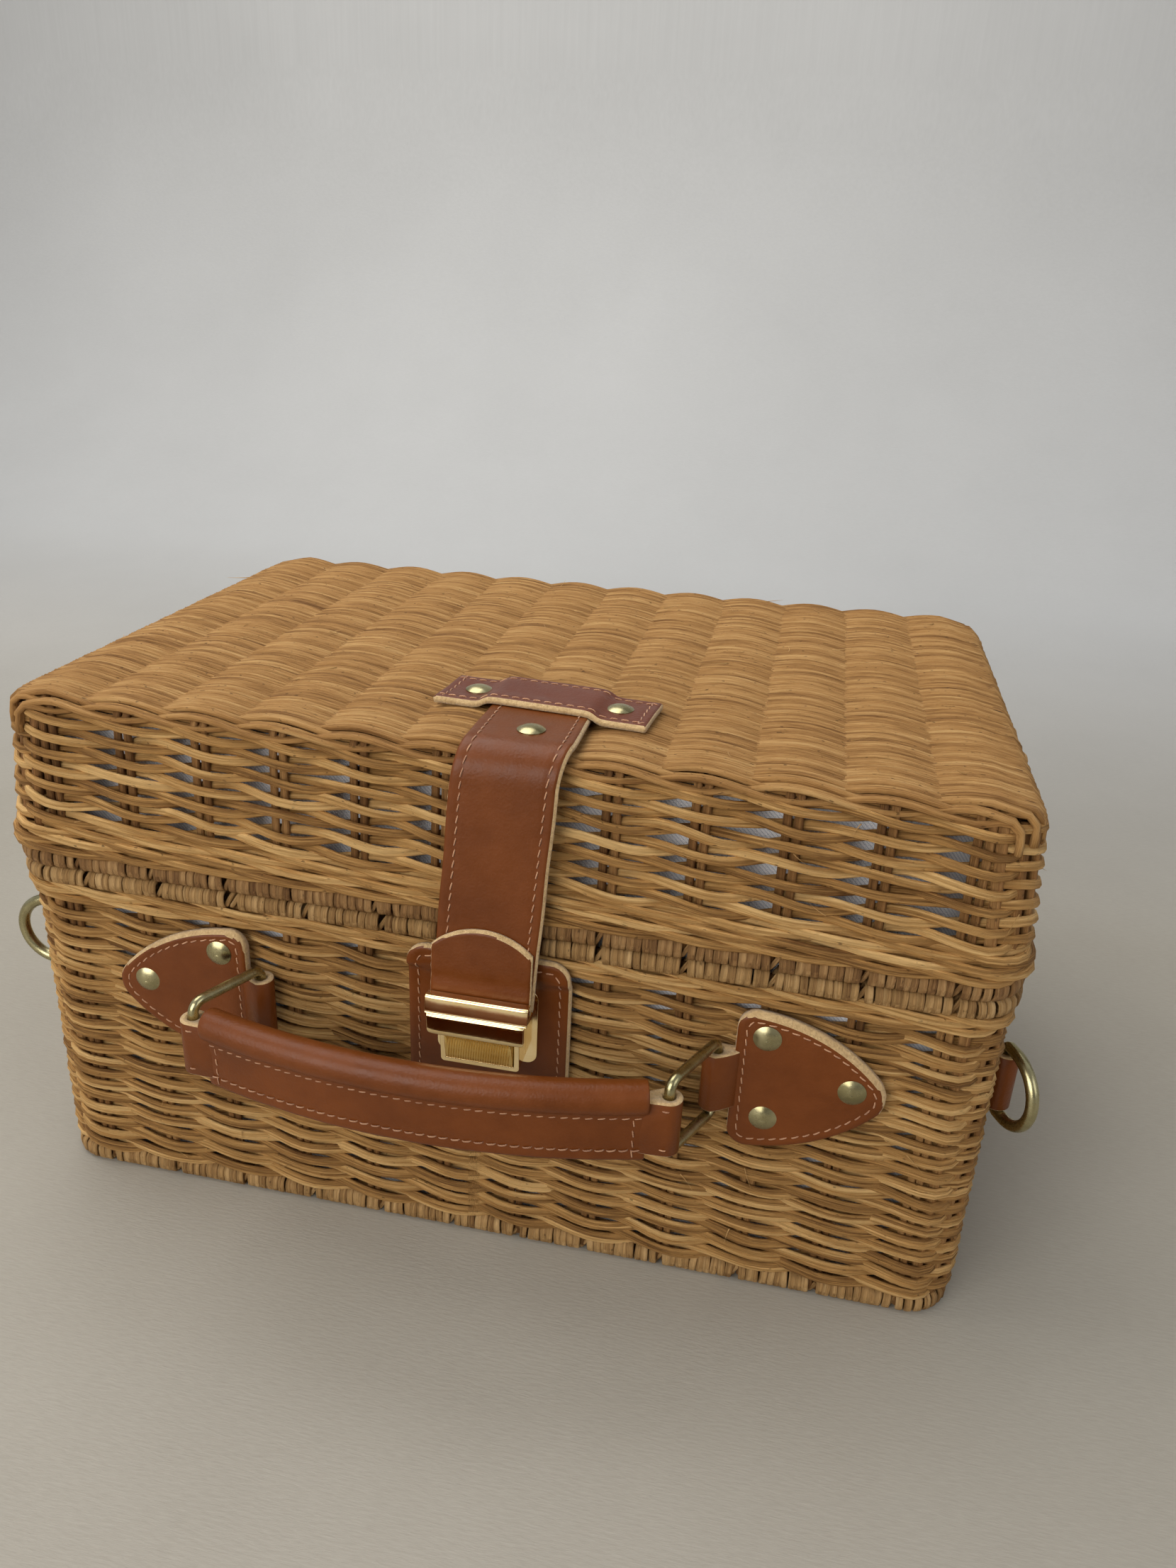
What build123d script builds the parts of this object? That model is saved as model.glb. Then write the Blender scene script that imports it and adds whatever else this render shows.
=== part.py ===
from build123d import *
import os
from math import asin, cos, degrees, radians, sin, sqrt

# Woven wicker case: a basket body and a hinged lid, both lined with fabric,
# a leather carrying handle on two wire rings, a leather closing strap with a
# press lock, and a wire ring on each side wall for a shoulder strap.
# Millimetres. X runs along the width, -Y is the front, +Z is up.
# The origin is on the floor, under the middle of the basket body.

# ---- basket body ----
body_width = 292.0
body_depth = 189.0
body_corner = 14.0
wall = 5.0                 # woven wall: weavers on both faces of the stakes
foot_height = 6.0
foot_inset = 2.0
foot_thickness = 7.0
base_thickness = 5.0
wall_height = 94.8
waling_height = 6.2        # band of thicker, bulging rows under the rim
body_bulge = 2.0
rim_height = 5.6           # wrapped border
rim_bulge = 1.0
post_diameter = 6.5        # corner canes

# ---- lid ----
lid_gap = 0.3
lid_overhang_width = 4.0   # how much wider than the body the lid's low edge is
lid_overhang_depth = 6.0
lid_taper_width = 6.5      # how much narrower the lid is at its top
lid_taper_depth = 7.0
lid_post_inset = 0.5
lid_wall_height = 34.0
lid_waling_height = 8.5
lid_top_thickness = 6.0
lid_edge_radius = 5.0
lid_border_inset = 1.5

# ---- lining ----
lining_thickness = 1.0
soft_gap = 0.3             # clearance round every leather or fabric piece
fit_gap = 0.1              # clearance of a stitched-in or guided piece

# ---- leather ----
leather = 1.8
double_leather = 3.0

# ---- rivets ----
rivet_radius = 3.9
rivet_height = 1.5
shank_radius = 1.1
washer_radius = 3.2
washer_thickness = 0.8

# ---- handle pads, rings and handle ----
handle_x = 1.9             # the fittings sit a little right of the middle
pad_reach = 114.0          # tip of a pad from the handle's middle
pad_start = 72.3
pad_height = 44.6
pad_corner = 5.0
pad_below_waling = 0.3
pad_shoulder = 17.0        # half height where the pad's corner begins
pad_side = 103.2           # a point that the pad's curved side passes
pad_side_height = 13.2
tube_spacing = 134.6       # between the two rings' inner bars
tube_height = 18.5
ring_wire = 1.5            # wire radius
ring_clearance = 0.4
ring_reach = 23.2          # between a ring's two bars
ring_height = 24.0
ring_inner_corner = 2.5
ring_outer_corner = 3.4
ring_rest_angle = 26.0     # lean of the rings to the left of straight out
loop_height = 17.0
handle_bow = 10.5
roll_core_radius = 2.75
handle_height = 24.4
flange_thickness = 3.6
grip_setback = 5.5         # from a ring's outer bar to the grip's end
tail_length = 12.0

# ---- closing strap ----
strap_width = 29.0
strap_top_x = 9.6
strap_bend_radius = 8.75
flap_top_x = 6.5
lock_x = 3.6
strap_slack = 5.4          # how much further out the strap's lower end hangs
hinge_gap = 1.6            # from a bend's axis to the leather on each side
bend_axis_rise = 1.2       # from the middle of the strap's bend up to the flap's axis
crossbar_length = 62.5
crossbar_depth = 21.0
crossbar_x = 9.6
crossbar_inset = 35.5      # from the lid's front edge to the bar's middle
crossbar_turn = -5.0
crossbar_rivet_reach = 21.3
strap_rivet_gap = 0.4      # between the lid's lining and the strap rivet's washer
tongue_height = 20.4
tongue_arch = 5.8
tongue_thickness = 1.5

# ---- lock ----
patch_width = 47.5
patch_height = 61.0
patch_corner = 6.0
patch_thickness = 2.2
patch_drop = 5.6           # from the rim's top to the patch's top
plate_width = 29.6
plate_height = 24.5
plate_thickness = 1.2
plate_drop = 15.6
plate_corner = 3.0
housing_width = 23.0
housing_height = 14.3
housing_depth = 8.3
housing_drop = 24.2
housing_wall = 1.6
housing_back = 1.2
housing_slope = 1.0        # how much less the housing's low end stands out
housing_corner = 1.2
lock_post_reach = 5.5      # from the lock's middle to a rivet of its base plate
lock_post_drop = 4.0
spring_sheet = 0.4
spring_height = 5.0
spring_end_gap = 3.0
button_travel = 1.5
button_gap = 0.15
button_proud = 1.4
button_depth = 4.6
catch_width = 8.0
catch_thickness = 2.0
catch_height = 4.6
hasp_width = 29.2
hasp_sheet = 1.2
hasp_drop = 14.4           # from the rim's top to the hasp's upper front edge

# ---- side rings ----
side_tab_inset = 24.5      # from the front wall to the ring's bar
side_ring_z_drop = 39.6    # from the rim's top to the ring's middle
side_wire = 1.8
side_ring_height = 22.4
side_ring_depth = 15.4
side_ring_corner = 1.8
side_tab_length = 30.0
side_right_turn = -65.0    # the right ring hangs turned to the front
side_rivet_shares = (0.42, 0.8)

# ---- back hinge straps ----
back_strap_width = 20.0
back_strap_x = 78.0
back_strap_drop = 34.0
back_strap_rise = 31.0
back_axis_gap = 0.9        # from the bulging rows to the strap
bulge_start = 3.0          # how far below the bulge the leather bends out
back_rivet_reach = 5.2
back_low_rivet_inset = 7.0
back_high_rivet_inset = 6.0

# ---- heights and faces that follow ----
z_wall = foot_height
z_waling = z_wall + wall_height
z_rim = z_waling + waling_height
z_mouth = z_rim + rim_height
z_lid = z_mouth + lid_gap
z_lid_waling = z_lid + rim_height
z_lid_wall = z_lid_waling + lid_waling_height
z_lid_plate = z_lid_wall + lid_wall_height
z_top = z_lid_plate + lid_top_thickness
inner_width = body_width - 2 * wall
inner_depth = body_depth - 2 * wall
front = body_depth / 2
lid_skirt_width = body_width + lid_overhang_width
lid_skirt_depth = body_depth + lid_overhang_depth
lid_top_width = lid_skirt_width - lid_taper_width
lid_top_depth = lid_skirt_depth - lid_taper_depth
lid_front = lid_top_depth / 2


def slab(width, depth, radius, z0, z1):
    """Upright prism with rounded corners."""
    return Pos(0, 0, z0) * extrude(RectangleRounded(width, depth, radius), z1 - z0)


def hoop(width, depth, radius, hole_width, hole_depth, z0, z1, edge=0.0):
    """Rounded rectangular hoop; edge softens its outer rims."""
    outer = slab(width, depth, radius, z0, z1)
    if edge:
        levels = outer.edges().group_by(Axis.Z)
        outer = fillet(levels[0] + levels[-1], edge)
    hole_radius = max(radius - (width - hole_width) / 2, 1.0)
    return outer - slab(hole_width, hole_depth, hole_radius, z0 - 1, z1 + 1)


def tapered(width0, depth0, width1, depth1, radius, z0, z1):
    """Prism that changes its width and depth evenly with height."""
    low = Pos(0, 0, z0) * RectangleRounded(width0, depth0, radius)
    high = Pos(0, 0, z1) * RectangleRounded(width1, depth1, radius)
    return loft([low.face(), high.face()], ruled=True)


def across(points, x_middle, width):
    """Closed outline in the YZ plane, extended along X about x_middle."""
    outline = make_face(Polyline(*points, close=True))
    return extrude(Plane.YZ.offset(x_middle - width / 2) * outline, width)


def front_plate(sketch, back, thickness):
    """Sketch in X and Z, extended forwards from the face y = -back."""
    return extrude(Plane.XZ.offset(back) * sketch, thickness)


def group(solids):
    return Compound(children=solids)


def dome():
    """Domed rivet head standing on z = 0: a thin disc under a cap of a ball."""
    rim = 0.3
    rise = rivet_height - rim
    ball = (rivet_radius ** 2 + rise ** 2) / (2 * rise)
    disc = extrude(Circle(rivet_radius), rivet_height)
    return disc & Pos(0, 0, rivet_height - ball) * Sphere(ball)


def rivet_caps(seats):
    return [seat * dome() for seat, grip in seats]


def rivet_posts(seats):
    """Shank from under the head, through the grip, and a washer behind."""
    posts = []
    for seat, grip in seats:
        shank = Pos(0, 0, -grip) * extrude(Circle(shank_radius), grip)
        washer = Pos(0, 0, -grip - washer_thickness) * extrude(Circle(washer_radius), washer_thickness)
        posts.append(seat * (shank + washer))
    return posts


def rivet_holes(seats):
    holes = []
    for seat, grip in seats:
        holes.append(seat * Pos(0, 0, -grip - 2) * extrude(Circle(shank_radius + fit_gap), grip + 6))
    return holes


def drilled(piece, seats):
    for hole in rivet_holes(seats):
        piece = piece - hole
    return piece


def facing_front(x, y, z):
    return Plane(origin=(x, y, z), x_dir=(1, 0, 0), z_dir=(0, -1, 0))


# ---- corner posts and lining share the inner corners of the walls ----
def corner_places(width, depth, radius):
    """Where a post stands, just inside each inner corner of a wall."""
    post_radius = post_diameter / 2
    reach = (radius - post_radius - fit_gap) / sqrt(2)
    x = width / 2 - radius + reach
    y = depth / 2 - radius + reach
    return [(sx * x, sy * y) for sx in (-1, 1) for sy in (-1, 1)]


def lining_corner(radius):
    """Corner radius of a lining that passes inside the posts."""
    post_radius = post_diameter / 2
    nearest = radius - 2 * post_radius - fit_gap - soft_gap
    side = radius - soft_gap
    return (side * sqrt(2) - nearest) / (sqrt(2) - 1)


def posts(width, depth, radius, z0, z1):
    return [Pos(x, y, z0) * extrude(Circle(post_diameter / 2), z1 - z0)
            for x, y in corner_places(width, depth, radius)]


inner_corner = body_corner - wall
lining_radius = lining_corner(inner_corner)
lining_width = inner_width - 2 * soft_gap
lining_depth = inner_depth - 2 * soft_gap

# ---- rivet seats: a plane on the outer face, and the thickness it clamps ----
pad_back = front + soft_gap
pad_front = pad_back + double_leather
pad_z = z_waling - pad_below_waling - pad_height / 2
wall_grip = wall + soft_gap + lining_thickness
pad_grip = pad_front - front + wall_grip
pad_rivet_places = [(80.5, 15.0), (81.9, -11.5), (104.8, 1.8)]
pad_seats = [(facing_front(handle_x + side * x, -pad_front, pad_z + z), pad_grip)
             for side in (-1, 1) for x, z in pad_rivet_places]

# ---- basket body ----
body_weave = hoop(body_width, body_depth, body_corner, inner_width, inner_depth, z_wall, z_waling)
body_waling = hoop(body_width + 2 * body_bulge, body_depth + 2 * body_bulge, body_corner + body_bulge,
                   inner_width, inner_depth, z_waling, z_rim, edge=1.8)
body_rim_border = hoop(body_width + 2 * rim_bulge, body_depth + 2 * rim_bulge, body_corner + rim_bulge,
                       inner_width, inner_depth, z_rim, z_mouth, edge=1.2)
foot_width = body_width - 2 * foot_inset
foot_depth = body_depth - 2 * foot_inset
foot_border = hoop(foot_width, foot_depth, body_corner - foot_inset,
                   foot_width - 2 * foot_thickness, foot_depth - 2 * foot_thickness, 0, foot_height)
base_margin = 2 * (foot_thickness + fit_gap)
base_weave = slab(foot_width - base_margin, foot_depth - base_margin,
                  body_corner - foot_inset - foot_thickness, 0, base_thickness)
body_corner_posts = posts(inner_width, inner_depth, inner_corner, z_wall, z_mouth - 1)
lining_floor = z_wall + soft_gap
body_lining = slab(lining_width, lining_depth, lining_radius, lining_floor, z_mouth)
body_lining -= slab(lining_width - 2 * lining_thickness, lining_depth - 2 * lining_thickness,
                    lining_radius - lining_thickness, lining_floor + lining_thickness, z_mouth + 1)


# ---- handle pads: a stitched leather leaf with a tube for the ring's bar ----
bore = ring_wire + ring_clearance
tube_radius = bore + leather
tube_y = pad_back + tube_radius
tube_reach = tube_spacing / 2


def pad_sketch():
    half = pad_height / 2
    top = ThreePointArc((pad_start + pad_corner, half), (pad_side, pad_side_height), (pad_reach, 0))
    low = ThreePointArc((pad_reach, 0), (pad_side, -pad_side_height), (pad_start + pad_corner, -half))
    mid = (pad_start + 0.3 * pad_corner, pad_shoulder + 0.68 * (half - pad_shoulder))
    low_corner = ThreePointArc((pad_start + pad_corner, -half), (mid[0], -mid[1]),
                               (pad_start, -pad_shoulder))
    side = Line((pad_start, -pad_shoulder), (pad_start, pad_shoulder))
    top_corner = ThreePointArc((pad_start, pad_shoulder), mid, (pad_start + pad_corner, half))
    return make_face(top + low + low_corner + side + top_corner)


def pad(side):
    sketch = pad_sketch() if side > 0 else mirror(pad_sketch(), Plane.YZ)
    leaf = front_plate(Pos(handle_x, pad_z) * sketch, pad_back, double_leather)
    neck_middle = handle_x + side * (tube_reach + pad_start + 1) / 2
    neck = front_plate(Pos(neck_middle, pad_z) * Rectangle(pad_start + 1 - tube_reach, tube_height),
                       pad_back, double_leather)
    place = Pos(handle_x + side * tube_reach, -tube_y, pad_z - tube_height / 2)
    tube = place * extrude(Circle(tube_radius), tube_height)
    hole = place * Pos(0, 0, -tube_height) * extrude(Circle(bore), 3 * tube_height)
    return drilled(leaf + neck + tube - hole, pad_seats)


pad_left = pad(-1)
pad_right = pad(1)


# ---- rings: wire bent to a rounded rectangle, and a D for the side rings ----
def wire_loop(path, radius):
    section = Plane(origin=path @ 0, z_dir=path % 0) * Circle(radius)
    return sweep(section, path=path)


def rounded_loop(reach, height, inner, outer):
    """Centre line of a ring's wire: inner bar on local x = 0, outer bar at x = reach."""
    half = height / 2
    k = 1 - sqrt(0.5)
    edges = Line((0, -half + inner), (0, half - inner))
    edges += ThreePointArc((0, half - inner), (k * inner, half - k * inner), (inner, half))
    edges += Line((inner, half), (reach - outer, half))
    edges += ThreePointArc((reach - outer, half), (reach - k * outer, half - k * outer),
                           (reach, half - outer))
    edges += Line((reach, half - outer), (reach, -half + outer))
    edges += ThreePointArc((reach, -half + outer), (reach - k * outer, -half + k * outer),
                           (reach - outer, -half))
    edges += Line((reach - outer, -half), (inner, -half))
    edges += ThreePointArc((inner, -half), (k * inner, -half + k * inner), (0, -half + inner))
    return edges


def d_loop(depth, height, corner):
    """Centre line of a D ring: straight bar on local x = 0, half round outside."""
    half = height / 2
    k = 1 - sqrt(0.5)
    arm = depth - half
    edges = Line((0, -half + corner), (0, half - corner))
    edges += ThreePointArc((0, half - corner), (k * corner, half - k * corner), (corner, half))
    edges += Line((corner, half), (arm, half))
    edges += ThreePointArc((arm, half), (depth, 0), (arm, -half))
    edges += Line((arm, -half), (corner, -half))
    edges += ThreePointArc((corner, -half), (k * corner, -half + k * corner), (0, -half + corner))
    return edges


def upright_ring(loop, radius, x, y, z, heading):
    """Sweeps the wire round a loop that stands in a vertical plane."""
    path = (Pos(x, y, z) * Rot(0, 0, heading) * Rot(90, 0, 0) * loop).wire()
    return wire_loop(path, radius)


ring_heading = -90.0 - ring_rest_angle
ring_step = (ring_reach * cos(radians(ring_heading)), ring_reach * sin(radians(ring_heading)))
handle_ring_loop = rounded_loop(ring_reach, ring_height, ring_inner_corner, ring_outer_corner)
ring_left = upright_ring(handle_ring_loop, ring_wire, handle_x - tube_reach, -tube_y, pad_z, ring_heading)
ring_right = upright_ring(handle_ring_loop, ring_wire, handle_x + tube_reach, -tube_y, pad_z, ring_heading)

# ---- handle: a leather cover over a rope core, sewn to a loop at each end ----
loop_y = -tube_y + ring_step[1]
handle_middle_x = handle_x + ring_step[0]
bow_radius = (tube_reach ** 2 + handle_bow ** 2) / (2 * handle_bow)
bow_centre_y = loop_y + bow_radius - handle_bow
bow_axis = Axis((handle_middle_x, bow_centre_y, 0), (0, 0, 1))
roll_radius = roll_core_radius + fit_gap + leather
handle_low = pad_z - handle_height / 2
roll_z = pad_z + handle_height / 2 - roll_radius
loop_z = pad_z - 1.0


def bowed(section, from_end, to_end):
    """Turns a section along the handle's bow; both ends are distances from the bars."""
    start = -90.0 - degrees(asin((tube_reach - from_end) / bow_radius))
    stop = -90.0 + degrees(asin((tube_reach - to_end) / bow_radius))
    outward = (cos(radians(start)), sin(radians(start)), 0)
    tangent = (outward[1], -outward[0], 0)
    plane = Plane(origin=(handle_middle_x, bow_centre_y, 0), x_dir=outward, z_dir=tangent)
    return revolve(plane * section, bow_axis, revolution_arc=stop - start)


def tail(from_end, to_end, margin):
    height = loop_height - 4.0 + 2 * margin
    low = loop_z - loop_height / 2 + 0.5 - margin
    section = Pos(bow_radius, low + height / 2) * Rectangle(leather + 2 * margin, height)
    return bowed(section, from_end, to_end)


flange_section = Rectangle(flange_thickness, roll_z - handle_low)
flange_section = Pos(bow_radius, (handle_low + roll_z) / 2) * flange_section
roll_section = Pos(bow_radius, roll_z) * Circle(roll_radius)
core_hole_section = Pos(bow_radius, roll_z) * Circle(roll_core_radius + fit_gap)
handle_cover = bowed(flange_section + roll_section - core_hole_section, grip_setback, grip_setback)
handle_core = bowed(Pos(bow_radius, roll_z) * Circle(roll_core_radius), grip_setback + 1, grip_setback + 1)
far_side = 2 * tube_reach
for pocket in ((grip_setback - 1, far_side - grip_setback - tail_length - fit_gap),
               (far_side - grip_setback - tail_length - fit_gap, grip_setback - 1)):
    handle_cover -= tail(pocket[0], pocket[1], fit_gap)


def handle_loop(side):
    """Leather strip folded round a ring's outer bar, its tail sewn into the grip."""
    place = Pos(handle_middle_x + side * tube_reach, loop_y, loop_z - loop_height / 2)
    tube = place * extrude(Circle(tube_radius), loop_height)
    inner = far_side - grip_setback - tail_length
    strip = tail(0, inner, 0) if side < 0 else tail(inner, 0, 0)
    hole = place * Pos(0, 0, -loop_height) * extrude(Circle(bore), 3 * loop_height)
    return tube + strip - hole


handle_loop_left = handle_loop(-1)
handle_loop_right = handle_loop(1)

# ---- side tabs and rings ----
side_bore = side_wire + ring_clearance
side_tube_radius = side_bore + leather
side_face = body_width / 2 + soft_gap
side_tube_x = side_face + side_tube_radius
side_y = -front + side_tab_inset
side_z = z_mouth - side_ring_z_drop
side_tube_height = side_ring_height - 2 * side_ring_corner - 0.4
side_seats = []
for side in (-1, 1):
    for reach in side_rivet_shares:
        seat = Plane(origin=(side * (side_face + double_leather), side_y + reach * side_tab_length, side_z),
                     x_dir=(0, 1, 0), z_dir=(side, 0, 0))
        side_seats.append((seat, double_leather + soft_gap + wall_grip))


def side_tab(side):
    """Folded leather tab on a side wall, with a tube for the ring's bar."""
    place = Pos(side * side_tube_x, side_y, side_z - side_tube_height / 2)
    tube = place * extrude(Circle(side_tube_radius), side_tube_height)
    hole = place * Pos(0, 0, -side_tube_height) * extrude(Circle(side_bore), 3 * side_tube_height)
    leaf = extrude(SlotOverall(2 * side_tab_length, side_tube_height), double_leather)
    leaf = leaf & Pos(side_tab_length / 2, 0, double_leather / 2) * Box(side_tab_length, 60, 20)
    stand = Plane(origin=(side * side_face, side_y, side_z), x_dir=(0, 1, 0), z_dir=(side, 0, 0))
    return drilled(tube + stand * leaf - hole, side_seats)


side_tab_left = side_tab(-1)
side_tab_right = side_tab(1)
side_loop = d_loop(side_ring_depth, side_ring_height, side_ring_corner)
side_ring_left = upright_ring(side_loop, side_wire, -side_tube_x, side_y, side_z, 180)
side_ring_right = upright_ring(side_loop, side_wire, side_tube_x, side_y, side_z, side_right_turn)

# ---- lock patch: leather that steps out over the bulging rows ----
patch_top = z_mouth - patch_drop
patch_low = patch_top - patch_height
patch_back = front + soft_gap
step_out = body_bulge
patch_outline = [(-patch_back, patch_low), (-patch_back, z_waling - bulge_start),
                 (-patch_back - step_out, z_waling), (-patch_back - step_out, patch_top),
                 (-patch_back - step_out - patch_thickness, patch_top),
                 (-patch_back - step_out - patch_thickness, z_waling - 0.6),
                 (-patch_back - patch_thickness, z_waling - bulge_start - 0.6),
                 (-patch_back - patch_thickness, patch_low)]
lock_patch = across(patch_outline, lock_x, patch_width)
patch_shape = RectangleRounded(patch_width, patch_height, patch_corner)
patch_shape = Pos(lock_x, (patch_top + patch_low) / 2) * patch_shape
lock_patch = lock_patch & front_plate(patch_shape, front - 5, 20)
patch_front = patch_back + patch_thickness

# ---- lock: base plate, housing, press button with its catch, and leaf spring ----
plate_top = z_mouth - plate_drop
plate_shape = RectangleRounded(plate_width, plate_height, plate_corner)
plate_shape = Pos(lock_x, plate_top - plate_height / 2) * plate_shape
lock_base_plate = front_plate(plate_shape, patch_front, plate_thickness)
plate_front = patch_front + plate_thickness
lock_post_seats = [(facing_front(lock_x + side * lock_post_reach, -plate_front, plate_top - lock_post_drop),
                    plate_front - front + wall_grip) for side in (-1, 1)]
lock_base_plate = drilled(lock_base_plate, lock_post_seats)
lock_patch = drilled(lock_patch, lock_post_seats)

housing_top = z_mouth - housing_drop
housing_low = housing_top - housing_height
housing_front = plate_front + housing_depth
housing_outline = [(-plate_front, housing_low), (-plate_front, housing_top), (-housing_front, housing_top),
                   (-housing_front + housing_slope, housing_low)]
lock_housing = across(housing_outline, lock_x, housing_width)
lock_housing = fillet(lock_housing.edges().filter_by(Axis.Y).group_by(Axis.Z)[0], housing_corner)
window_width = housing_width - 2 * housing_wall
window_height = housing_height - 2 * housing_wall
window_z = (housing_top + housing_low) / 2
window = front_plate(Pos(lock_x, window_z) * Rectangle(window_width, window_height),
                     plate_front + housing_back, housing_depth + 5)
catch_back = housing_front - button_depth
slot_depth = catch_thickness + button_travel + 2 * button_gap
slot = front_plate(Pos(lock_x, housing_top) * Rectangle(catch_width + 2 * button_gap, 2 * housing_wall + 2),
                   catch_back - button_travel - button_gap, slot_depth)
lock_housing = lock_housing - window - slot

button_width = window_width - 2 * button_gap
button_top = window_z + window_height / 2 - button_gap
button_low = window_z - window_height / 2 + button_gap
button_face = housing_front + button_proud
button_outline = [(-catch_back, button_low), (-catch_back, button_top), (-button_face + 0.8, button_top),
                  (-button_face, button_top - 1.0), (-button_face, button_top - 3.0),
                  (-housing_front + housing_slope + 0.6, button_low)]
lock_button = across(button_outline, lock_x, button_width)
lock_catch = front_plate(Pos(lock_x, button_top + catch_height / 2) * Rectangle(catch_width, catch_height),
                         catch_back, catch_thickness)
spring_back = plate_front + housing_back
spring_rise = catch_back - button_travel - spring_back - soft_gap
spring_span = window_width - 2 * spring_end_gap
spring_arc = ThreePointArc((-spring_span / 2, 0), (0, spring_rise - spring_sheet), (spring_span / 2, 0))
spring_top = ThreePointArc((spring_span / 2, spring_sheet), (0, spring_rise),
                           (-spring_span / 2, spring_sheet))
spring_ends = (Line((spring_span / 2, 0), (spring_span / 2, spring_sheet))
               + Line((-spring_span / 2, spring_sheet), (-spring_span / 2, 0)))
spring_face = make_face(spring_arc + spring_ends + spring_top)
spring_plane = Plane(origin=(lock_x, -spring_back, window_z - spring_height / 2),
                     x_dir=(1, 0, 0), z_dir=(0, 0, 1))
lock_spring = extrude(spring_plane * mirror(spring_face, Plane.XZ), spring_height)

# ---- lid ----
lid_rows_width = lid_skirt_width - 2 * rim_bulge
lid_rows_depth = lid_skirt_depth - 2 * rim_bulge
lid_corner = body_corner
lid_hole_width = lid_top_width - 2 * wall
lid_hole_depth = lid_top_depth - 2 * wall
lid_hole_corner = lid_corner - wall
skirt_hole = (inner_width, inner_depth)
lid_border = hoop(lid_skirt_width - 2 * lid_border_inset, lid_skirt_depth - 2 * lid_border_inset, lid_corner,
                  skirt_hole[0], skirt_hole[1], z_lid, z_lid_waling, edge=1.2)
lid_waling = hoop(lid_skirt_width, lid_skirt_depth, lid_corner + 1, skirt_hole[0], skirt_hole[1],
                  z_lid_waling, z_lid_wall, edge=2.4)
lid_weave = tapered(lid_rows_width, lid_rows_depth, lid_top_width, lid_top_depth, lid_corner,
                    z_lid_wall, z_lid_plate)
lid_weave -= tapered(skirt_hole[0], skirt_hole[1], lid_hole_width, lid_hole_depth, lid_hole_corner,
                     z_lid_wall - 0.01, z_lid_plate + 0.01)
lid_top_weave = slab(lid_top_width, lid_top_depth, lid_corner, z_lid_plate, z_top)
lid_top_weave = fillet(lid_top_weave.edges().group_by(Axis.Z)[-1], lid_edge_radius)
lid_post_width = lid_hole_width - 2 * lid_post_inset
lid_post_depth = lid_hole_depth - 2 * lid_post_inset
lid_corner_posts = posts(lid_post_width, lid_post_depth, lid_hole_corner,
                         z_lid_waling, z_lid_plate - fit_gap)
lid_lining_width = lid_post_width - 2 * soft_gap
lid_lining_depth = lid_post_depth - 2 * soft_gap
lid_lining_radius = lining_corner(lid_hole_corner)
lid_lining_top = z_lid_plate - soft_gap
lid_lining = slab(lid_lining_width, lid_lining_depth, lid_lining_radius, z_lid, lid_lining_top)
lid_lining -= slab(lid_lining_width - 2 * lining_thickness, lid_lining_depth - 2 * lining_thickness,
                   lid_lining_radius - lining_thickness, z_lid - 1, lid_lining_top - lining_thickness)

# ---- closing strap on the lid, under its crossbar ----
half_leather = leather / 2
strap_low = z_top + soft_gap
strap_high = strap_low + leather
bend_y = -(lid_front - 4.0)
bend_z = (strap_low + strap_high) / 2 - strap_bend_radius
flap_y = bend_y - strap_bend_radius
flap_axis_z = bend_z + bend_axis_rise
strap_end = -(lid_front - crossbar_inset) + crossbar_depth / 2 - 3.0


def bend_strip():
    """Top leg of the strap and its bend over the lid's front edge, in Y and Z."""
    big = strap_bend_radius + leather / 2
    small = strap_bend_radius - leather / 2
    k = sqrt(0.5)
    edges = Line((strap_end, strap_high), (bend_y, strap_high))
    edges += ThreePointArc((bend_y, strap_high), (bend_y - big * k, bend_z + big * k),
                           (bend_y - big, bend_z))
    edges += Line((bend_y - big, bend_z), (bend_y - small, bend_z))
    edges += ThreePointArc((bend_y - small, bend_z), (bend_y - small * k, bend_z + small * k),
                           (bend_y, strap_low))
    edges += Line((bend_y, strap_low), (strap_end, strap_low))
    edges += Line((strap_end, strap_low), (strap_end, strap_high))
    return make_face(edges)


strap_top = extrude(Plane.YZ.offset(strap_top_x - strap_width / 2) * bend_strip(), strap_width)
strap_stop_z = flap_axis_z + half_leather + soft_gap
strap_top -= Pos(strap_top_x, flap_y, strap_stop_z - 20) * Box(2 * strap_width, 12, 40)
strap_rivet_inset = wall + lid_post_inset + soft_gap + lining_thickness + washer_radius + strap_rivet_gap
strap_rivet_y = -(lid_front - strap_rivet_inset)
lid_grip = lid_top_thickness + soft_gap + lining_thickness
strap_seats = [(Plane(origin=(strap_top_x + 1.2, strap_rivet_y, strap_high), z_dir=(0, 0, 1)),
                strap_high - z_top + lid_grip)]
bar_y = -(lid_front - crossbar_inset)
bar_place = Pos(crossbar_x, bar_y, 0) * Rot(0, 0, crossbar_turn)
bar_seats = [(Plane(bar_place * Pos(side * crossbar_rivet_reach, 0, strap_high)),
              strap_high - z_top + lid_grip) for side in (-1, 1)]
strap_seats = strap_seats + bar_seats
hump = strap_width / 2 + soft_gap + crossbar_depth / 2 * abs(sin(radians(crossbar_turn)))
ramp = 1.2
rise = leather + fit_gap
half_bar = crossbar_length / 2
bar_outline = [(-half_bar, strap_low), (-hump - ramp, strap_low), (-hump, strap_low + rise),
               (hump, strap_low + rise), (hump + ramp, strap_low), (half_bar, strap_low),
               (half_bar, strap_high), (hump + ramp, strap_high), (hump, strap_high + rise),
               (-hump, strap_high + rise), (-hump - ramp, strap_high), (-half_bar, strap_high)]
bar_face = make_face(Polyline(*bar_outline, close=True))
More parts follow.
